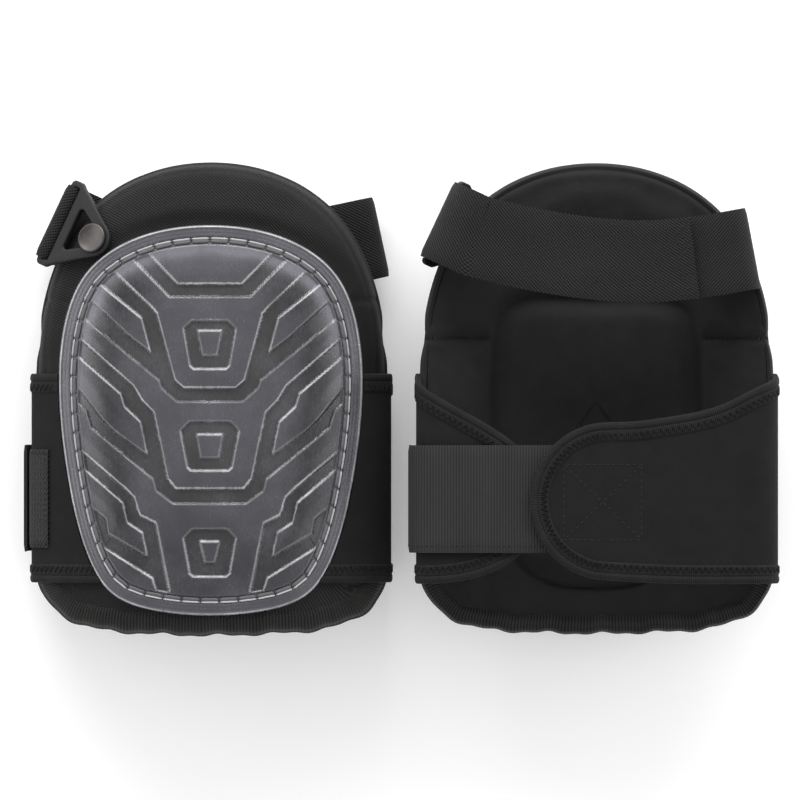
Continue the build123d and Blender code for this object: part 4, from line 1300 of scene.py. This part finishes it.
def wing_binding(section, edge):
    """The folded elastic that binds the wing's edge, as a soft sleeve with a pressed line."""
    line = even(edge, int(along(edge)[-1] / 1.4))
    inner = square_to(line) * inward_side(line)
    w = np.array([0.0, -0.35, -0.2, 0.5, 1.6, 2.7, 3.2, 3.6, 4.2, 5.6, 7.2, 8.0, BINDING_WIDTH])
    p = BINDING_PROUD
    h = np.array([-1.1, -0.6, 0.05, p, p + 0.18, p + 0.1, p - 0.3, p - 0.05, p, p, p, p - 0.05, -0.05])
    w = np.concatenate([w, w[::-1][:-1]])
    h = np.concatenate([h, -WING_THICKNESS - h[::-1][:-1]])
    at = line[:, None] + inner[:, None] * w[None, :, None]
    rings = section.place(at[..., 0], at[..., 1], h[None])
    return tube(rings), grid_uv(along(line), w)


def binding_stitches(section, edge):
    """The zigzag row that holds the binding."""
    count = int(along(edge)[-1] / ZIGZAG_PITCH)
    line = even(edge, count)
    inner = square_to(line) * inward_side(line)
    w = np.where(np.arange(count) % 2 == 0, *ZIGZAG_REACH)[:, None]
    at = (line + inner * w)[2:-2]
    points = section.place(at[:, 0], at[:, 1], BINDING_PROUD + 0.05)
    normals = section.place(at[:, 0], at[:, 1], BINDING_PROUD + 1.05) - points
    return thread(points, normals, 0.3)


def strap_on(section, start, end, middle_y, width, thickness, h=0.0):
    """A band laid along a section, with its outer face h out of the section's."""
    profile = tape_profile(width, thickness, edge=0.45, across=16)
    s = np.linspace(start, end, 120)
    rings = section.place(s[:, None], middle_y + profile[None, :, 0], h + profile[None, :, 1])
    return tube(rings), grid_uv(s, profile[:, 0])


def surface_line(section, points):
    """A line on a section's outer face and its normals, from (distance, y) points."""
    at = np.array(points, float)
    on = section.place(at[:, 0], at[:, 1], 0.0)
    return on, section.place(at[:, 0], at[:, 1], 1.0) - on


# ---------------------------------------------------------------- upper strap
def arc_point(x, z):
    """A point on the upper strap's centre line where it crosses the back."""
    return np.array((x, ARC_CENTRE[1] - math.sqrt(ARC_RADIUS**2 - (x - ARC_CENTRE[0]) ** 2), z))


def arc_up(x):
    """The upper strap's width direction at x."""
    turn = math.asin((x - ARC_CENTRE[0]) / ARC_RADIUS)
    return np.array((-math.sin(turn), math.cos(turn), 0))


stud_radius = CAP_RADIUS - COVER_DEPTH - float(roll_drop(np.array(STUD_Y)))
stud_base = np.array((STUD_X, STUD_Y, PAD_HEIGHT - CAP_RADIUS + math.sqrt(stud_radius**2 - STUD_X**2)))
lean = math.asin(-STUD_X / stud_radius)
outward = np.array((-math.cos(BUCKLE_SLANT), math.sin(BUCKLE_SLANT), 0))
bar_along = np.array((math.sin(BUCKLE_SLANT), math.cos(BUCKLE_SLANT), 0))
upward = np.array((0.0, 0.0, 1.0))
to_bar = outward * math.cos(lean) - upward * math.sin(lean)
stud_normal = outward * math.sin(lean) + upward * math.cos(lean)
bar_centre = stud_base + to_bar * BAR_DISTANCE + stud_normal * (BUCKLE_LIFT + BUCKLE_THICKNESS / 2)


def bar_section(corners):
    """Points of a line in the section across the buckle's bar, from (outwards, z, radius) corners."""
    line = fillet_line(corners)
    foot = np.array((bar_centre[0], bar_centre[1], 0))
    return foot + line[:, :1] * outward + line[:, 1:] * upward


def ribbon(centres, widths, width, thickness):
    """A band along a line of centre points, from its width direction at each of them."""
    s = along(centres)
    at = np.linspace(0, s[-1], max(8, int(s[-1] / RIBBON_STEP)))
    c = sampled(centres, s, at)
    t = unit(np.gradient(c, axis=0))
    n = unit(np.cross(t, sampled(widths, s, at)))
    w = np.cross(n, t)
    profile = tape_profile(width, thickness, edge=0.5, across=14)
    across, out = profile[None, :, :1], profile[None, :, 1:] + thickness / 2
    rings = c[:, None] + w[:, None] * across + n[:, None] * out
    return tube(rings), grid_uv(at, profile[:, 0])


def flat_run(start, end_x, z, sag):
    """The strap's centre line across the back, from a point beside the buckle to x; sag lowers its middle."""
    xs = np.arange(start[0] + 26.0, end_x + 0.1, 4.0)
    run = [start]
    for x in np.append(xs[xs < end_x - 2.0], end_x):
        run.append(arc_point(x, z) - np.array((0, sag * smooth((x - start[0]) / 90.0), 0)))
    return spline(run, 60)


def band_path(fold_x, sag):
    """The strap from its seam at the pad's edge, round the fold, across the back and up the inner wall."""
    corner = [(INNER_WALL - 16.0, BAND_Z, 0), (INNER_WALL, BAND_Z, 11.2), (INNER_WALL, SLING_FOOT_Z, 0)]
    heel = bar_section(corner)
    flat = flat_run(heel[0], fold_x - FOLD_RADIUS, BAND_Z, sag)[::-1]
    away = unit(flat[0] - flat[2])
    up = np.array((-away[1], away[0], 0))
    fold_centre = flat[0] + upward * FOLD_RADIUS
    points = [fold_centre + away * reach + upward * FOLD_RADIUS for reach in (-FOLD_RETURN, -FOLD_RETURN / 2)]
    for turn in np.linspace(math.pi / 2, -math.pi / 2, 14):
        points.append(fold_centre + FOLD_RADIUS * (math.cos(turn) * away + math.sin(turn) * upward))
    points += list(flat[1:])
    widths = [up] * 16 + [arc_up(p[0]) for p in flat[1:]]
    return np.array(points + list(heel[1:])), widths + [bar_along] * (len(heel) - 1)


def sling_path():
    """The strap's two walls and the loop round the bar between them."""
    foot_z = SLING_FOOT_Z - 0.2
    inner = bar_section([(INNER_WALL, foot_z, 0), (INNER_WALL, bar_centre[2], 0)])
    turns = np.linspace(math.pi, 0, 16)[1:-1]
    loop = [bar_centre + OUTER_WALL * (outward * math.cos(a) + upward * math.sin(a)) for a in turns]
    outer = bar_section([(OUTER_WALL, bar_centre[2], 0), (OUTER_WALL, foot_z, 0)])
    points = np.vstack([inner, loop, outer])
    return points, [bar_along] * len(points)


def tail_path(sag):
    """The strap's free end: down the outer wall, round the heel and along the back."""
    corner = [(OUTER_WALL, SLING_FOOT_Z, 0), (OUTER_WALL, TAIL_Z, 15.2), (OUTER_WALL - 20.0, TAIL_Z, 0)]
    heel = bar_section(corner)
    flat = flat_run(heel[-1], TAIL_END_X, TAIL_Z, sag)
    widths = [bar_along] * len(heel) + [arc_up(p[0]) for p in flat[1:]]
    return np.vstack([heel, flat[1:]]), widths


# ---------------------------------------------------------------- buckle and stud
def tangent_apex(radius, corner, corner_radius=0.0):
    """Half the apex angle of a triangle whose sides touch a circle at the origin and one at a corner."""
    return math.atan2(corner[1], corner[0]) - math.asin((radius - corner_radius) / math.hypot(*corner))


def buckle_outlines():
    """The buckle's outline, its window and the slot beside its bar."""
    spread = tangent_apex(BUCKLE_APEX, BUCKLE_FOOT)
    (foot_u, foot_v), (base_u, base_v), r = BUCKLE_FOOT, BUCKLE_BASE, BUCKLE_CORNER
    half = [(foot_u, foot_v, r), (foot_u + r, base_v, r), (base_u, base_v, r), (base_u, LOOP_HALF, 0.3)]
    half.append((BAR_OUTER, LOOP_HALF, 0.2))
    apex = (-BUCKLE_APEX / math.sin(spread), 0, BUCKLE_APEX)
    plate = rounded_loop([apex, *half, *((u, -v, c) for u, v, c in half[::-1])])
    spread = tangent_apex(PIVOT_RADIUS, WINDOW, WINDOW_CORNER)
    far_u = WINDOW[0] + WINDOW_CORNER
    far_v = PIVOT_RADIUS / math.cos(spread) + far_u * math.tan(spread)
    apex = (-PIVOT_RADIUS / math.sin(spread), 0, PIVOT_RADIUS)
    window = rounded_loop([apex, (far_u, far_v, WINDOW_CORNER), (far_u, -far_v, WINDOW_CORNER)])
    low, high, half_v = SLOT
    slot = rounded_loop([(low, half_v, 0.6), (high, half_v, 0.6), (high, -half_v, 0.6), (low, -half_v, 0.6)])
    return plate, window, slot


def buckle_skin(edge=0.75):
    """The buckle as a plate with soft edges."""
    curve = bpy.data.curves.new("buckle_outlines", "CURVE")
    curve.dimensions, curve.fill_mode = "2D", "BOTH"
    curve.extrude = BUCKLE_THICKNESS / 2 - edge
    curve.bevel_depth, curve.bevel_resolution, curve.offset = edge, 4, -edge
    for outline_points in buckle_outlines():
        spline_line = curve.splines.new("POLY")
        spline_line.points.add(len(outline_points) - 1)
        for point, (u, v) in zip(spline_line.points, outline_points):
            point.co = (u, v, 0, 1)
        spline_line.use_cyclic_u = True
    shape = linked("buckle_outlines", curve)
    graph = bpy.context.evaluated_depsgraph_get()
    mesh = bpy.data.meshes.new_from_object(shape.evaluated_get(graph))
    bpy.data.objects.remove(shape)
    work = bmesh.new()
    work.from_mesh(mesh)
    bmesh.ops.remove_doubles(work, verts=work.verts, dist=0.001)
    bmesh.ops.dissolve_degenerate(work, edges=work.edges, dist=0.0005)
    work.to_mesh(mesh)
    work.free()
    points = np.array([v.co for v in mesh.vertices]) + (0, 0, BUCKLE_LIFT + BUCKLE_THICKNESS / 2)
    return points, [list(face.vertices) for face in mesh.polygons]


def on_stud(points):
    """Points given as (towards the bar, along it, out of the cover) from the stud's foot."""
    p = np.array(points, float).reshape(-1, 3)
    return stud_base + p[:, :1] * to_bar + p[:, 1:2] * bar_along + p[:, 2:] * stud_normal


def turned_skin(profile, count=72):
    """A round part from its (radius, height) profile."""
    angles = np.linspace(0, math.tau, count, endpoint=False)
    rings = [np.stack([r * np.cos(angles), r * np.sin(angles), np.full(count, h)], 1) for r, h in profile]
    return shell(np.array(rings))


HEAD_FOOT = BUCKLE_LIFT + BUCKLE_THICKNESS + 0.3
HEAD_SHAPE = [
    (0.3, 0), (6.2, 0), (6.8, 0.25), (6.9, 0.9), (6.75, 1.35), (6.45, 1.6), (6.1, 1.55),
    (5.8, 1.38), (0.3, 1.4),
]
ROUND_PARTS = {
    "stud_cap": ("stud_head", [(r, HEAD_FOOT + h) for r, h in HEAD_SHAPE]),
    "stud_stem": (
        "stud_post",
        [(0.3, -1.2), (3.4, -1.2), (3.4, 3.0), (3.2, 3.4), (3.2, HEAD_FOOT), (0.3, HEAD_FOOT)],
    ),
    "stud_backing": (
        "stud_washer",
        [(0.3, -3.0), (7.2, -3.0), (7.6, -2.8), (7.6, -1.6), (7.2, -1.3), (0.3, -1.2)],
    ),
}


# ---------------------------------------------------------------- shapes that both pads share
cap_skin, cap_uv, cap_masks = build_cap_skin()
# The cover runs from the middle of the front to half-way down the side, and the liner goes on from there
cover = cloth_layer(padding[:COVER_ROWS], padding_normals[:COVER_ROWS], COVER_THICKNESS)
leg_side = slice(None, COVER_ROWS - 2, -1)
liner = cloth_layer(padding[leg_side], padding_normals[leg_side], LINER_THICKNESS * LINER_SHARE)
foam = foam_layer()
gel = gel_layer()
foot_tape, foot_hem = foot_binding()
big_section, small_section = wing_sections()

cx, cy = FLAP_TIP_CENTRE
tip_turns = np.linspace(math.radians(80), math.radians(-80), 60)
big_edge = wing_edges(
    big_section,
    [(72, 4.6), (60, -1.5), (48, -5.4), (30, -8.6), (14, -10.4), (cx, cy + FLAP_TIP_RADIUS)],
    [(cx - FLAP_TIP_RADIUS * math.cos(a), cy + FLAP_TIP_RADIUS * math.sin(a)) for a in tip_turns],
    [(cx, cy - FLAP_TIP_RADIUS), (22, -84.4), (40, -85.0), (70, -85.0)],
)
small_tip = [
    (-39.0, -20.0), (-35.5, -23.5), (-33.6, -28.0), (-33, -36),
    (-33, -48), (-33, -60), (-34.0, -68.0), (-37.0, -72.5),
]
small_edge = wing_edges(
    small_section,
    [(-74, 1.2), (-62, -5.6), (-50, -12.4), (-42, -17.6)],
    small_tip,
    [(-42, -76.5), (-54, -81.5), (-68, -84.4), (-76, -85)],
)
strap_corners = [
    (LOWER_STRAP_OUTER_X, LOWER_STRAP_END_Z, 0),
    (LOWER_STRAP_OUTER_X, LOWER_STRAP_OUTER_Z, LOWER_STRAP_HEEL),
    (-LOWER_STRAP_START_X, LOWER_STRAP_OUTER_Z, 0),
]
strap_section = Section(strap_corners, mirrored=True)


def flat_dashes(section, a, b):
    """A row of stitches between two (x, y) points on a section's back part."""
    start = np.array((section.at_x(a[0]), a[1]))
    end = np.array((section.at_x(b[0]), b[1]))
    line = [start * (1 - t) + end * t for t in np.linspace(0, 1, 30)]
    return stitches(*surface_line(section, line), *CROSS_STITCH)


# ---------------------------------------------------------------- pieces of a pad
def add_cap(pad):
    """The cap with its painted tones (sunk areas, painted highlights and painted shade), and the two rows of
    its seam.
    """
    moulding = pad.piece("cap_moulding", (cap_skin, cap_uv), "clear_pvc", ["cap"], "pad_body")
    for mask_name, values in cap_masks.items():
        mask = moulding.data.attributes.new(mask_name, "FLOAT", "POINT")
        mask.data.foreach_set("value", values.astype(np.float32))
    for row, (inset, radius, wide, sink, dyed) in CAP_SEAM_ROWS.items():
        line, normals = cap_stitch_line(inset)
        pitch = along(line)[-1] / CAP_STITCHES
        seam = stitches(line, normals, pitch, pitch * 0.95, radius, sink=sink, wide=wide, blunt=12)
        pad.piece(row, seam, "thread", ["cap_stitching"], "pad_body", dyed)


def add_body(pad):
    """The cover, the liner and what they hold, with the foot's tape and the liner's darts."""
    covering = pad.piece("cover_padding", cover, "cover_fabric", ["front_cover"], "pad_body")
    lining = pad.piece("liner_padding", liner, "neoprene", ["liner"], "pad_body", liner_jersey)
    filling = pad.piece("foam_filling", foam, "foam", ["foam_core"], "pad_body")
    gel_pack = pad.piece("gel_pack", gel, "gel", ["gel_core"], "pad_body")
    pad.piece("foot_tape", foot_tape, "ribbed_tape", ["bottom_binding"], "pad_body")
    hem = stitches(*foot_hem, *FOOT_STITCH)
    pad.piece("foot_tape_stitching", hem, "thread", (), "pad_body")
    rows = []
    for way in (-1, 1):
        across = np.linspace(*DART_REACH, 24) * way
        y = np.full_like(across, DART_Y)
        dart = np.stack([across, y, leg_z(across, y) + DART_SUNK], 1)
        rows.append(stitches(dart, np.tile((0, 0, -1.0), (24, 1)), *DART_STITCH))
    pad.piece("liner_darts", joined(rows), "thread", (), "pad_body")


def add_wings(pad):
    """Both wings, and the cross that holds the strap."""
    for name, section, edge, flap_body, way in (
        ("big", big_section, big_edge, "lower_strap_body", 1),
        ("small", small_section, small_edge, "small_flap_body", -1),
    ):
        start, end = ((way * WING_OUTER_X, LOWER_STRAP_Y, z) for z in WING_BEND_Z)
        bound = [f"{name}_wing_binding", f"{name}_flap_binding"]
        made = (
            ("wing_neoprene", wing_panel(section, edge), "neoprene", [f"{name}_wing", f"{name}_flap"]),
            ("wing_edging", wing_binding(section, edge), "elastic_binding", bound),
            ("wing_overlock", binding_stitches(section, edge), "thread", []),
        )
        for piece_name, skin, slot, replaced in made:
            piece = pad.piece(f"{name}_{piece_name}", skin, slot, replaced)
            pad.bend(piece, flap_body, start, end)
    loop = zip(CROSS_CORNERS, CROSS_CORNERS[1:] + CROSS_CORNERS[:1])
    rows = [flat_dashes(big_section, a, b) for a, b in loop]
    rows += [flat_dashes(big_section, CROSS_CORNERS[i], CROSS_CORNERS[i + 2]) for i in (0, 1)]
    pad.piece("cross_stitching", joined(rows), "thread", ["flap_stitching"], "lower_strap_body")


def add_lower_strap(pad):
    """The grey elastic, with its hem."""
    lie = (LOWER_STRAP_Y, LOWER_STRAP_WIDTH, STRAP_THICKNESS)
    elastic = strap_on(strap_section, 0.0, strap_section.s[-1], *lie)
    strap = pad.piece("lower_strap_elastic", elastic, "grey_elastic", ["lower_strap", "lower_strap_end"])
    hem_y = LOWER_STRAP_Y - LOWER_STRAP_WIDTH / 2 + LOWER_STRAP_HEM
    hem = [(s, hem_y) for s in np.linspace(2.0, strap_section.s[-1] - 2, 160)]
    hem_seam = stitches(*surface_line(strap_section, hem), *STRAP_STITCH)
    strap_hem = pad.piece("lower_strap_hem", hem_seam, "thread")
    a, b = pad.place([(-LOWER_STRAP_OUTER_X, LOWER_STRAP_Y, z) for z in STRAP_BEND_Z])
    for piece in (strap, strap_hem):
        pad.body("lower_strap_body")
        pad.body("strap_end_body")
        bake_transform(piece)


def add_hook_patch(pad):
    """The hook tape that the lower strap's end grips, and the seam round it."""
    start = small_section.front_at_x(PATCH_FRONT_X)
    end = small_section.at_z(PATCH_FOOT_Z)
    lie = (LOWER_STRAP_Y, PATCH_WIDTH, PATCH_THICKNESS + 0.3, PATCH_THICKNESS)
    patch = strap_on(small_section, start, end, *lie)
    pad.piece("hook_tape_patch", patch, "hook_tape", ["hook_patch"], "pad_body")
    low, high = (LOWER_STRAP_Y + way * (PATCH_WIDTH / 2 - PATCH_SEAM_INSET) for way in (-1, 1))
    near, far = end - PATCH_SEAM_FOOT, start + PATCH_SEAM_INSET
    border = even([(near, high), (far, high), (far, low), (near, low)], 120)
    on, n = surface_line(small_section, border)
    border_seam = stitches(on + n * PATCH_THICKNESS, n, *PATCH_STITCH)
    pad.piece("hook_patch_stitching", border_seam, "thread", (), "pad_body")


def add_upper_strap(pad):
    """The black webbing: its band across the back, the loop round the buckle's bar, and the tail."""
    fold_x, sag = STRAP_LIE[pad.side]
    band = ribbon(*band_path(fold_x, sag), UPPER_STRAP_WIDTH, STRAP_THICKNESS)
    pad.piece("upper_strap_band", band, "black_webbing", ["upper_strap", "upper_strap_anchor"], "pad_body")
    loop = ribbon(*sling_path(), UPPER_STRAP_WIDTH - SLING_NARROWER, STRAP_THICKNESS)
    sling = pad.piece("upper_strap_sling", loop, "black_webbing", ["upper_strap_loop"])
    x, y, bar_z = bar_centre
    pad.bend(sling, "buckle_body", (x, y, SLING_FOOT_Z + 2), (x, y, bar_z - 7))
    free_end = ribbon(*tail_path(sag), UPPER_STRAP_WIDTH, STRAP_THICKNESS)
    replaced = ["upper_strap_return", "upper_strap_tail"]
    tail = pad.piece("upper_strap_tail_end", free_end, "black_webbing", replaced)
    pad.bend(tail, "tail_body", *((x, TAIL_BEND_Y, TAIL_Z) for x in TAIL_BEND_X))


def add_tail_trim(pad):
    """The seams across the tail's end, and the hook tape under it."""
    _, sag = STRAP_LIE[pad.side]
    flat = tail_path(sag)[0]
    flat = flat[flat[:, 2] < TAIL_Z + 0.01]
    rows = []
    for x in (TAIL_END_X - seam for seam in TAIL_SEAMS):
        across = np.linspace(-TAIL_SEAM_HALF, TAIL_SEAM_HALF, 16)[:, None]
        line = np.array((x, np.interp(x, flat[:, 0], flat[:, 1]), 0.0)) + across * arc_up(x)
        rows.append(stitches(line, np.tile((0, 0, -1.0), (16, 1)), *TAIL_STITCH))
    pad.piece("tail_stitching", joined(rows), "thread", (), "tail_body")
    xs = np.linspace(TAIL_END_X - 2.0 - HOOK_TAB_LENGTH, TAIL_END_X - 2.0, 16)
    under = np.column_stack([xs, np.interp(xs, flat[:, 0], flat[:, 1]), np.full(16, TAIL_Z + 1.05)])
    tab = ribbon(under, [arc_up(x) for x in xs], UPPER_STRAP_WIDTH - HOOK_TAB_NARROWER, 0.5)
    pad.piece("tail_hook_tape", tab, "hook_tape", ["hook_tab"], "tail_body")


def add_buckle(pad):
    """The buckle, and the stud that it hooks over."""
    points, faces = buckle_skin()
    frame_skin = (on_stud(points), faces)
    pad.piece("buckle_frame", (frame_skin, points[:, :2]), "buckle_plastic", ["buckle"], "buckle_body")
    for name, (node, profile) in ROUND_PARTS.items():
        points, faces = turned_skin(profile)
        skin = (on_stud(points), faces)
        pad.piece(name, (skin, points[:, :2]), "stud_metal", [node], "pad_body")


for side in ("right", "left"):
    pad = Pad(side)
    add_cap(pad)
    add_body(pad)
    add_wings(pad)
    add_lower_strap(pad)
    add_hook_patch(pad)
    add_upper_strap(pad)
    add_tail_trim(pad)
    add_buckle(pad)


# ---------------------------------------------------------------- floor, lights and camera
PHOTO_WIDTH = 0.3744
LENS, SENSOR = 400.0, 36.0
FLOOR_Z = -0.0012
FLOOR_HALF = 4.0
HORIZON_LIGHT = 1.45
ZENITH_LIGHT = 0.5
HORIZON_BAND, ZENITH_BAND = math.radians(14), math.radians(66)
LIGHT_TARGET = (0, 0, 0.03)


def build_floor():
    """A plain pale floor."""
    mesh = bpy.data.meshes.new("floor")
    signs = ((-1, -1), (1, -1), (1, 1), (-1, 1))
    corners = [(x * FLOOR_HALF, y * FLOOR_HALF, FLOOR_Z) for x, y in signs]
    mesh.from_pydata(corners, [], [(0, 1, 2, 3)])
    floor = linked("floor", mesh)
    finish = bpy.data.materials.new("floor")
    finish.use_nodes = True
    shader = finish.node_tree.nodes["Principled BSDF"]
    shader.inputs["Base Color"].default_value = (0.86, 0.86, 0.86, 1)
    shader.inputs["Roughness"].default_value = 0.9
    shader.inputs["Specular IOR Level"].default_value = 0.1
    shader.inputs["Emission Color"].default_value = (1, 1, 1, 1)
    shader.inputs["Emission Strength"].default_value = 0.22
    mesh.materials.append(finish)


def build_world():
    """A white studio that is bright round the horizon and dimmer overhead."""
    world = bpy.data.worlds.new("studio")
    bpy.context.scene.world = world
    world.use_nodes = True
    nodes, links = world.node_tree.nodes, world.node_tree.links
    direction = nodes.new("ShaderNodeTexCoord")
    split = nodes.new("ShaderNodeSeparateXYZ")
    level = nodes.new("ShaderNodeMapRange")
    level.interpolation_type = "SMOOTHSTEP"
    level.inputs["From Min"].default_value = math.sin(HORIZON_BAND)
    level.inputs["From Max"].default_value = math.sin(ZENITH_BAND)
    level.inputs["To Min"].default_value = HORIZON_LIGHT
    level.inputs["To Max"].default_value = ZENITH_LIGHT
    links.new(direction.outputs["Generated"], split.inputs[0])
    links.new(split.outputs["Z"], level.inputs["Value"])
    links.new(level.outputs["Result"], nodes["Background"].inputs["Strength"])
    nodes["Background"].inputs["Color"].default_value = (1, 1, 1, 1)


def soft_light(name, place, size, power):
    """A rectangular soft light aimed at the pair."""
    data = bpy.data.lights.new(name, "AREA")
    data.shape, data.size, data.size_y, data.energy = "RECTANGLE", size[0], size[1], power
    light = linked(name, data)
    light.location = place
    light.rotation_euler = (Vector(LIGHT_TARGET) - Vector(place)).to_track_quat("-Z", "Y").to_euler()


def build_camera():
    """Straight above the pair, at the photograph's scale."""
    data = bpy.data.cameras.new("camera")
    data.lens, data.sensor_width, data.clip_end = LENS, SENSOR, 30
    camera = linked("camera", data)
    camera.location = (0, 0, PAD_HEIGHT / 2 * MM + PHOTO_WIDTH * LENS / SENSOR)
    bpy.context.scene.camera = camera


build_floor()
build_world()
soft_light("top_light", (0, 1.25, 0.62), (2.0, 0.6), 30)
soft_light("left_light", (-1.3, 0.2, 0.45), (1.4, 0.4), 3.5)
soft_light("right_light", (1.3, 0.2, 0.45), (1.4, 0.4), 4.5)
build_camera()
bpy.context.scene.view_settings.view_transform = "Standard"
